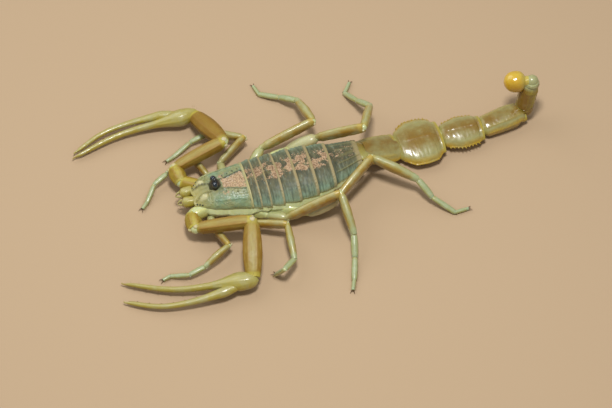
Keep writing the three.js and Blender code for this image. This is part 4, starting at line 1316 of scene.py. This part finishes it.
arm = {
    "femurKeels": (
        {"angle": 48, "height": 0.2, "spread": 10, "pitch": 0.42},
        {"angle": 132, "height": 0.2, "spread": 10, "pitch": 0.42},
        {"angle": -30, "height": 0.16, "spread": 10, "pitch": 0.42},
        {"angle": 210, "height": 0.16, "spread": 10, "pitch": 0.42},
    ),
    "patellaKeels": (
        {"angle": 62, "height": 0.12, "spread": 9, "pitch": 0.5, "tint": 0.5},
        {"angle": 118, "height": 0.12, "spread": 9, "pitch": 0.5, "tint": 0.5},
        {"angle": 18, "height": 0.14, "spread": 10, "pitch": 0.5},
        {"angle": 162, "height": 0.14, "spread": 10, "pitch": 0.5},
        {"angle": -40, "height": 0.12, "spread": 10}, {"angle": 220, "height": 0.12, "spread": 10},
    ),
    "handKeels": (
        {"angle": 70, "height": 0.06, "spread": 7, "tint": 0.5, "span": (0.02, 0.36)},
        {"angle": 105, "height": 0.06, "spread": 7, "tint": 0.5, "span": (0.02, 0.36)},
        {"angle": 35, "height": 0.06, "spread": 7, "tint": 0.5, "span": (0.02, 0.36)},
        {"angle": 145, "height": 0.06, "spread": 7, "tint": 0.5, "span": (0.02, 0.36)},
    ),
    "rootKeels": (
        {"angle": 60, "height": 0.2, "spread": 12, "pitch": 0.45},
        {"angle": 120, "height": 0.2, "spread": 12, "pitch": 0.45},
        {"angle": 0, "height": 0.14, "spread": 12}, {"angle": 180, "height": 0.14, "spread": 12},
    ),
    "toothPitch": 0.27, "toothSize": 0.1, "hairLength": 0.9, "hairRadius": 0.022, "hairs": 30,
    # The heel's rounding, how much wider each palm is than the solid, and its short hairs.
    "heel": 2.3, "palm": {"l": 0.34, "r": 0.16}, "palmHeight": 0.12, "palmHairs": 26,
    "wristSize": (1.05, 1.05, 1.0), "skinSizes": (1.15, 1.05, 0.98, 1.0),
    # Where the movable finger's measured line takes over from the sweep out of the palm.
    "footSteps": 25, "footSkips": 18, "footSwell": 0.26,
}


def centreLine(name, start, end, count):
    # The centre line of a gently curved solid, from square cuts along its chord.
    rows = measureLimb(name, start, end, count=30, low=0.03, high=0.985)
    for column in (1, 2, 3, 4):
        rows[:, column] = smoothed(rows[:, column], 2)
    along = unit(end - start)
    across, above = axesAlong(along)
    shares = (1 - np.cos(np.linspace(0, math.pi, count))) / 2
    ends = 1 - smoothStep(shares, 0.985, 1.0)
    sideways = np.interp(shares, rows[:, 0], rows[:, 1]) * ends
    upward = np.interp(shares, rows[:, 0], rows[:, 2]) * ends
    line = start + (end - start) * shares[:, None]
    line = line + sideways[:, None] * across + upward[:, None] * above
    widths, heights = [np.interp(shares, rows[:, 0], rows[:, column]) for column in (3, 4)]
    return line, shares, widths, heights


def addTeeth(pile, line, other, widths, low, high):
    # A row of fine dark teeth along the edge that meets the other finger, with a larger one now and then.
    travel = np.concatenate([[0], np.cumsum(np.linalg.norm(np.diff(line, axis=0), axis=1))])
    count = int(travel[-1] * (high - low) / arm["toothPitch"])
    for k in range(count):
        spot = travel[-1] * (low + (high - low) * (k + 0.5) / count)
        centre = np.array([np.interp(spot, travel, line[:, axis]) for axis in range(3)])
        width = np.interp(spot, travel, widths)
        facing = other[np.argmin(np.linalg.norm(other - centre, axis=1))] - centre
        facing[2] = 0
        facing = unit(facing)
        big = 1.7 if k % 9 == 4 else 1.0
        base = centre + facing * (width * 0.9)
        addSpike(pile, base, base + facing * arm["toothSize"] * 2.0 * big, arm["toothSize"] * big, sides=6,
                 steps=3, pale=0.85, tipShare=0.25)


def makeArm(side):
    name = f"pedipalp_{side}_"
    hip = jointBetween("prosoma", name + "trochanter")
    elbow = jointBetween(name + "trochanter", name + "femur", 1.2)
    knee = jointBetween(name + "femur", name + "patella", 1.2)
    wrist = jointBetween(name + "patella", name + "hand", 1.2)
    pile = newPile()
    line, shares, widths, heights = measuredLine(name + "trochanter", hip, elbow, 36, low=-0.05, high=1.02)
    swell = 0.9 + 0.22 * np.sin(math.pi * np.clip(shares, 0, 1))
    addTube(pile, line, widths.max() * swell, heights.max() * swell, sides=44, shares=shares, ripple=0.12,
            ridges=arm["rootKeels"])
    addKnuckles(pile, elbow, sideWays(elbow - hip), widths.max() * 0.8, 0.42)
    addBead(pile, elbow + zUp * heights.max() * 0.7, [0.5, 0.6, 0.3], rings=10, sides=18, pale=0.6)
    makePiece(f"arm_{side}_trochanter", pile, finish["armRoot"], [name + "trochanter"])
    pile = newPile()
    line, shares, widths, heights = measuredLine(
        name + "femur", elbow, knee, 90, bow=0.15, low=-0.03, high=1.01)
    addTube(pile, line, widths, heights, sides=60, power=(0.85, 0.8), shares=shares,
            ridges=arm["femurKeels"], ripple=0.03)
    addKnuckles(pile, knee, sideWays(knee - elbow), widths.max() * 0.75, 0.45)
    addBead(pile, knee + zUp * heights.max() * 0.62, [0.65, 0.6, 0.34], rings=10, sides=18, pale=0.7)
    makePiece(f"arm_{side}_femur", pile, finish["arm"], [name + "femur"])
    pile = newPile()
    line, shares, widths, heights = measuredLine(
        name + "patella", knee, wrist, 90, bow=0.2, low=-0.03, high=1.01)
    addTube(pile, line, widths, heights, sides=64, power=(0.88, 0.85), shares=shares,
            ridges=arm["patellaKeels"], ripple=0.03)
    addKnuckles(pile, wrist, sideWays(wrist - knee), widths[-6] * 0.72, 0.34, pale=0.6)
    # The right arm's patella takes the darker copy of the arm cuticle: painted shade on the far side.
    makePiece(f"arm_{side}_patella", pile, finish["shadedFarArm" if side == "r" else "arm"], [name + "patella"])
    makePincer(side, wrist)
    pile = newPile()
    for joint, size in zip((hip, elbow, knee, wrist), arm["skinSizes"]):
        addBead(pile, joint, [size, size, size], rings=14, sides=24)
    makePiece(f"arm_{side}_joint_skin", pile, finish["hip"])
    # Fine touch hairs stand along the arm.
    pile = newPile()
    for start, end, reach in ((elbow, knee, 1.25), (knee, wrist, 1.7)):
        across, above = axesAlong(unit(end - start))
        for _ in range(arm["hairs"]):
            turn = random.uniform(-0.3, math.pi + 0.3)
            out = across * math.cos(turn) + above * math.sin(turn)
            base = start + (end - start) * random.uniform(0.1, 0.92) + out * reach * 0.8
            addBristle(pile, base, out, arm["hairLength"], arm["hairRadius"])
    bristleMap(makePiece(f"arm_{side}_hairs", pile, finish["bristle"]), 2 * arm["hairs"])


def makePincer(side, wrist):
    # The hand with its fixed finger, and the movable one.
    name = f"pedipalp_{side}_"
    tip = tipOf(name + "hand", wrist)
    fingerPoints = solids[name + "finger"][0]
    away = np.linalg.norm(fingerPoints - wrist, axis=1)
    fingerRoot = middleOf(fingerPoints[away < away.min() + 1.0])
    fingerTip = tipOf(name + "finger", wrist)
    heel = wrist - unit(tip - wrist) * 1.0
    handLine, shares, widths, heights = centreLine(name + "hand", heel, tip, 150)
    fingerLine, fingerShares, fingerWidths, fingerHeights = centreLine(
        name + "finger", fingerRoot, fingerTip, 110)
    # The palm swells evenly and reaches across to the foot of the movable finger.
    palm = hump(shares, 0.165, 0.1)
    widths = np.maximum(widths, 0.95 * hump(shares, 0, 0.05)) + arm["palm"][side] * palm
    heights = heights + arm["palmHeight"] * palm
    # The heel of the hand is rounded off behind the wrist, and the finger's tip in front.
    fromHeel = np.clip(shares * np.linalg.norm(tip - heel) / arm["heel"], 0, 1)
    rounded = np.sqrt(np.clip(1 - (1 - fromHeel) ** 2.4, 0.03, 1))
    rounded = rounded * (1 - 0.6 * smoothStep(shares, 0.93, 1.0))
    pile = newPile()
    addTube(pile, handLine, widths * rounded, heights * rounded, sides=56, shares=shares, root=0.75,
            ridges=arm["handKeels"], ripple=0.03)
    addBead(pile, wrist, arm["wristSize"], rings=14, sides=24)
    addTeeth(pile, handLine, fingerLine, widths * rounded, 0.33, 0.96)
    across, above = axesAlong(unit(tip - wrist))
    for k in range(arm["palmHairs"]):
        share = 0.04 + 0.9 * k / arm["palmHairs"]
        spot = handLine[int(share * (len(handLine) - 1))]
        turn = random.uniform(0.2, math.pi - 0.2)
        out = across * math.cos(turn) + above * math.sin(turn)
        width = np.interp(share, shares, widths)
        addSpike(pile, spot + out * width * 0.9, spot + out * (width + 0.55), 0.025, sides=4, steps=2,
                 pale=0.3)
    makePiece(f"pincer_{side}_hand", pile, finish["pincer"], [name + "hand"])
    # The movable finger's foot is swollen and sinks into the palm.
    pile = newPile()
    skips = arm["footSkips"]
    foot = fingerRoot - unit(fingerTip - fingerRoot) * 3.0
    foot = foot + (handLine[np.argmin(np.linalg.norm(handLine - foot, axis=1))] - foot) * 0.7
    start = fingerLine[skips]
    guide = start - unit(fingerLine[skips + 6] - start) * 1.6
    sunk = np.linspace(0, 1, arm["footSteps"] + 1)[:-1, None]
    sweep = foot * (1 - sunk) ** 2 + guide * 2 * sunk * (1 - sunk) + start * sunk ** 2
    line = np.concatenate([sweep, fingerLine[skips:]])
    shares = np.linspace(0, 1, len(line))
    rounded = 1 - 0.6 * smoothStep(fingerShares[skips:], 0.92, 1.0)
    swell = arm["footSwell"] * hump(shares, 0.16, 0.14)
    fingerWidths, fingerHeights = [
        np.concatenate([np.full(arm["footSteps"], half[skips]), half[skips:] * rounded]) + swell
        for half in (fingerWidths, fingerHeights)
    ]
    addTube(pile, line, fingerWidths, fingerHeights, sides=40, shares=shares, root=0.7, lip=0.3,
            ripple=0.03, place=(0.15, 1.0))
    addTeeth(pile, line, handLine, fingerWidths, 0.24, 0.96)
    makePiece(f"pincer_{side}_finger", pile, finish["pincer"], [name + "finger"])


for armSide in "lr":
    makeArm(armSide)
print("pincer arms made")


jaw = {
    "toothSize": 0.13, "teeth": 4, "fingerSpread": 0.42, "fingerRadii": (0.42, 0.36),
    "keels": (
        {"angle": 62, "height": 0.08, "spread": 12, "pitch": 0.4},
        {"angle": 118, "height": 0.08, "spread": 12, "pitch": 0.4},
    ),
}


def makeJaws():
    # Each jaw is a barrel with a fixed and a movable tooth-edged finger at its end.
    for side, sign in (("l", -1), ("r", 1)):
        points = solids[f"chelicera_{side}"][0]
        back = middleOf(points[points[:, 0] > points[:, 0].max() - 0.4])
        nose = middleOf(points[points[:, 0] < points[:, 0].min() + 0.35])
        half = (points.max(0) - points.min(0)) / 2
        pile = newPile()
        line, shares = straightLine(back + np.array([0.7, 0, 0]), back + (nose - back) * 0.62, 40)
        swell = half[1] * (0.86 + 0.16 * np.sin(math.pi * shares) - 0.22 * smoothStep(shares, 0.8, 1.0))
        addTube(pile, line, swell, swell * 0.98, sides=40, shares=shares, ripple=0.06, ridges=jaw["keels"])
        for way, radius in zip((-1, 1), jaw["fingerRadii"]):
            offset = np.array([0, way * sign * jaw["fingerSpread"], -0.05])
            base = line[-1] + offset + np.array([0.35, 0, 0])
            tip = nose + np.array([0.08, offset[1] * 0.15, -0.25])
            curl = np.array([0, offset[1] * 0.6, 0.1])
            addSpike(pile, base, tip, radius, sides=20, steps=14, bend=curl, tipShare=0.2)
            inward = np.array([0, -way * sign, 0])
            for k in range(jaw["teeth"]):
                share = 0.45 + 0.14 * k
                spot = base + (tip - base) * share + curl * math.sin(math.pi * share)
                addSpike(pile, spot + inward * 0.12, spot + inward * (0.34 - 0.03 * k), jaw["toothSize"],
                         sides=8, steps=3, pale=0.9)
        makePiece(f"jaw_{side}", pile, finish["pincer"], [f"chelicera_{side}"])


makeJaws()
print("jaws made")


# Tail

tail = {
    "sides": 120, "rows": (80, 120, 110, 100, 96),
    # How the section bends: above 1 the edge is drawn out sharp, below 1 the section is fuller.
    "power": ((0.95, 1.05), (1.0, 1.2), (1.0, 1.15), (1.0, 0.97), (1.0, 0.97)),
    "rimTooth": 0.34, "rimPitch": 0.62, "toothStep": 0.78, "toothLength": 0.42, "toothRadius": 0.19,
    "collar": 0.08, "groove": 0.1,
    # How much the last two segments narrow behind, and how slim they are for their solids.
    "narrowing": {3: (0.14, 1.0), 4: (0.1, 0.88)},
    "domeSize": 1.36, "skinSizes": (1.55, 1.25, 1.4, 1.4, 1.3),
}


def tailKeels(i):
    fine = {"height": 0.13, "spread": 5.5, "pitch": 0.42, "tint": 0.75}
    if i == 0:
        return (
            dict(fine, angle=38, span=(0.15, 0.93)), dict(fine, angle=142, span=(0.15, 0.93)),
            {"angle": 3, "height": 0.24, "spread": 7, "pitch": 0.5, "span": (0.2, 0.95)},
            {"angle": 177, "height": 0.24, "spread": 7, "pitch": 0.5, "span": (0.2, 0.95)},
            dict(fine, angle=-45), dict(fine, angle=225), dict(fine, angle=-75), dict(fine, angle=255),
        )
    if i in (1, 2):
        rim = {"height": tail["rimTooth"], "spread": 4.5, "pitch": tail["rimPitch"], "span": (0.1, 0.97)}
        return (
            dict(rim, angle=2), dict(rim, angle=178, pitch=0 if i == 1 else tail["rimPitch"]),
            dict(fine, angle=90, spread=3.0, height=0.13, pitch=0, span=(0.14, 0.9), tint=0.1),
            dict(fine, angle=-60), dict(fine, angle=240),
        )
    return (
        dict(fine, angle=52, height=0.1, span=(0.06, 0.96), tint=0.4),
        dict(fine, angle=128, height=0.1, span=(0.06, 0.96), tint=0.4),
        dict(fine, angle=10, height=0.16), dict(fine, angle=170, height=0.16),
        dict(fine, angle=-32, height=0.24, spread=6, pitch=0.55, tint=1.0),
        dict(fine, angle=212, height=0.24, spread=6, pitch=0.55, tint=1.0),
        dict(fine, angle=-70), dict(fine, angle=250),
    )


def makeTail():
    names = [f"metasoma_{i}" for i in range(1, 6)]
    joints = [jointBetween("mesosoma_7", names[0], 1.6)]
    joints += [jointBetween(a, b, 1.2) for a, b in zip(names, names[1:])]
    joints.append(jointBetween(names[4], "telson", 1.0))
    for i, name in enumerate(names):
        start, end = joints[i], joints[i + 1]
        rows = measureLimb(name, start, end, count=25, low=0.05, high=0.95)
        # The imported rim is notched, so the widest of five neighbouring cuts is the true width.
        wide = np.pad(rows[:, 3], 2, mode="edge")
        rows[:, 3] = smoothed(np.max([wide[k:k + len(rows)] for k in range(5)], axis=0), 2)
        count = tail["rows"][i]
        line, shares = straightLine(start, end, count, low=-0.02, high=1.015)
        across, above = axesAlong(unit(end - start))
        line = line + np.interp(shares, rows[:, 0], rows[:, 1])[:, None] * across
        line = line + np.interp(shares, rows[:, 0], rows[:, 2])[:, None] * above
        widths = np.interp(shares, rows[:, 0], rows[:, 3])
        widths = widths * (1 - 0.22 * (1 - smoothStep(shares, 0.0, 0.09)))
        heights = np.interp(shares, rows[:, 0], rows[:, 4])
        heights = heights * (1 - 0.2 * (1 - smoothStep(shares, 0.0, 0.1)))
        if i in tail["narrowing"]:
            narrowing, slimness = tail["narrowing"][i]
            widths = widths * (1 - narrowing * smoothStep(shares, 0.7, 1.0)) * slimness
        # A raised collar rings the far end, behind a groove.
        collar = tail["collar"] * hump(shares, 0.965, 0.02)
        groove = tail["groove"] * hump(shares, 0.915, 0.02)
        widths = widths + collar - groove * 0.5
        heights = heights + collar - groove
        pile = newPile()
        addTube(pile, line, widths, heights, sides=tail["sides"], power=tail["power"][i], shares=shares,
                ridges=tailKeels(i), ripple=0.05, flat=0.0, lip=0.12)
        if i in (1, 2):
            # Strong saw teeth stand out from the disc's rim; the near rim of the first disc is smooth.
            for sign in ((1,) if i == 1 else (-1, 1)):
                for share in np.arange(0.16, 0.93, tail["toothStep"] / np.linalg.norm(end - start)):
                    spot = np.array([np.interp(share, shares, line[:, k]) for k in range(3)])
                    reach = np.interp(share, shares, widths) + tail["rimTooth"] * 0.5
                    base = spot + across * sign * reach
                    tip = base + across * sign * tail["toothLength"] + unit(end - start) * 0.12
                    addSpike(pile, base, tip, tail["toothRadius"], sides=8, keel=0.8, place=(0.5, 1.0, 0.3))
        if i == 4:
            # The last segment ends in a clear, rounded dome.
            joints[-1] = line[-1]
            addBead(pile, line[-1], [tail["domeSize"]] * 3, rings=16, sides=28, place=(1.0, 0.2, 1.0))
        makePiece(f"tail_segment_{i + 1}", pile, finish["tailEnd" if i == 4 else "tail"], [name])
    pile = newPile()
    for joint, size in zip(joints, tail["skinSizes"]):
        centre = np.array([joint[0], joint[1], max(joint[2], size + 0.05)])
        addBead(pile, centre, [size, size, size], rings=16, sides=28)
    makePiece("tail_joint_skin", pile, finish["hip"])
    return joints[-1]


sting = {
    # The needle hangs from this height over its point, and the bulb is wider than its solid.
    "needleDrop": 3.6, "bulbWiden": 1.3, "largest": 2.25, "neck": 1.15,
    "needleSteps": 40, "needleRadius": 1.25, "needleCurve": 0.9,
    "keels": ({"angle": -90, "height": 0.08, "spread": 9, "span": (0.3, 0.75), "pitch": 0.45},),
}


def makeSting(joint):
    points = solids["telson"][0]
    tip = points[np.argmin(points[:, 2])]
    upper = points[points[:, 2] > tip[2] + sting["needleDrop"]]
    away = np.linalg.norm(upper - joint, axis=1)
    along = unit(middleOf(upper[away > away.max() - 0.5]) - joint)
    length = ((upper - joint) @ along).max()
    across = axesAlong(along)[0]
    # The bulb's girth is the widest square cut above the needle; a short neck holds it to the tail.
    girth = 0.0
    for share in np.linspace(0.3, 0.8, 9):
        cut = cutPoints("telson", joint + along * length * share, along)
        girth = max(girth, np.ptp((cut - joint) @ across) / 2 * sting["bulbWiden"])
    girth = min(girth, sting["largest"])
    shares = (1 - np.cos(np.linspace(0, math.pi, 90))) / 2
    half = min(girth / length, 0.49)
    bulb = np.sqrt(np.clip(1 - ((shares - 1 + half) / half) ** 2, 0, 1)) * girth
    neck = sting["neck"] * (1 - smoothStep(shares, 0.35, 0.75))
    size = np.maximum(np.hypot(bulb, neck), 0.05)
    line = joint + along * (length * shares)[:, None]
    pile = newPile()
    addTube(pile, line, size, size, sides=72, shares=shares, ripple=0.02, root=0.95, lip=0.05,
            place=(0.0, 0.5), ridges=sting["keels"])
    # The needle leaves the bulb's underside and hooks down to its dark point.
    base = joint + along * length * 0.72 - zUp * 0.6
    t = np.linspace(0, 1, sting["needleSteps"])
    curve = along * sting["needleCurve"] * np.sin(math.pi * t)[:, None]
    line = base + (tip - base) * t[:, None] + curve
    size = sting["needleRadius"] * (1 - t) ** 1.25 + 0.1 * (1 - t) + 0.04
    addTube(pile, line, size, size, sides=28, shares=t, place=(0.45, 1.0), root=1.0)
    makePiece("sting", pile, finish["sting"], ["telson"])


makeSting(makeTail())
print("tail made")


# Camera, light and floor

def lookAt(thing, target):
    direction = Vector(target) - thing.location
    thing.rotation_euler = direction.to_track_quat("-Z", "Y").to_euler()


studio = {
    "target": (-4.68, -4.59, 0.0), "azimuth": -16.0, "elevation": 56.0, "distance": 450.0, "lens": 127.06,
    "key": (-15.0, -45.0, 345.0), "keySize": 60.0, "keyPower": 0.95,
    "fill": (-150.0, 190.0, 230.0), "fillSize": 260.0, "fillPower": 0.3,
    "floor": "#b59c7d", "floorSize": 4.0, "sensor": 36.0, "nearest": 0.005, "room": (1.0, 0.98, 0.95, 1.0),
    "roomPower": 0.35,
}


def makeStudio():
    camera = bpy.data.objects.new("camera", bpy.data.cameras.new("camera"))
    bpy.context.scene.collection.objects.link(camera)
    target = np.array(studio["target"])
    azimuth, elevation = math.radians(studio["azimuth"]), math.radians(studio["elevation"])
    level = np.array([math.sin(azimuth), -math.cos(azimuth), 0.0])
    back = level * math.cos(elevation) + zUp * math.sin(elevation)
    camera.location = (target + back * studio["distance"]) * mm
    camera.data.lens = studio["lens"]
    camera.data.sensor_width = studio["sensor"]
    camera.data.clip_start = studio["nearest"]
    lookAt(camera, target * mm)
    bpy.context.scene.camera = camera
    for name in ("key", "fill"):
        light = bpy.data.objects.new(name, bpy.data.lights.new(name, "AREA"))
        bpy.context.scene.collection.objects.link(light)
        light.data.size = studio[name + "Size"] * mm
        light.data.energy = studio[name + "Power"]
        light.location = np.array(studio[name]) * mm
        lookAt(light, (0, 0, 0))
    world = bpy.data.worlds.new("room")
    world.use_nodes = True
    background = world.node_tree.nodes["Background"]
    background.inputs["Color"].default_value = studio["room"]
    background.inputs["Strength"].default_value = studio["roomPower"]
    bpy.context.scene.world = world
    bpy.ops.mesh.primitive_plane_add(size=studio["floorSize"], location=(0, 0, 0))
    floor = bpy.context.object
    floor.name = "floor"
    # Matt card, with no pattern.
    card = bpy.data.materials.new("mattCard")
    card.use_nodes = True
    shader = card.node_tree.nodes["Principled BSDF"]
    shader.inputs["Base Color"].default_value = linear(studio["floor"])
    shader.inputs["Roughness"].default_value = 0.9
    floor.data.materials.append(card)


makeStudio()
bpy.context.scene.view_settings.view_transform = "Standard"
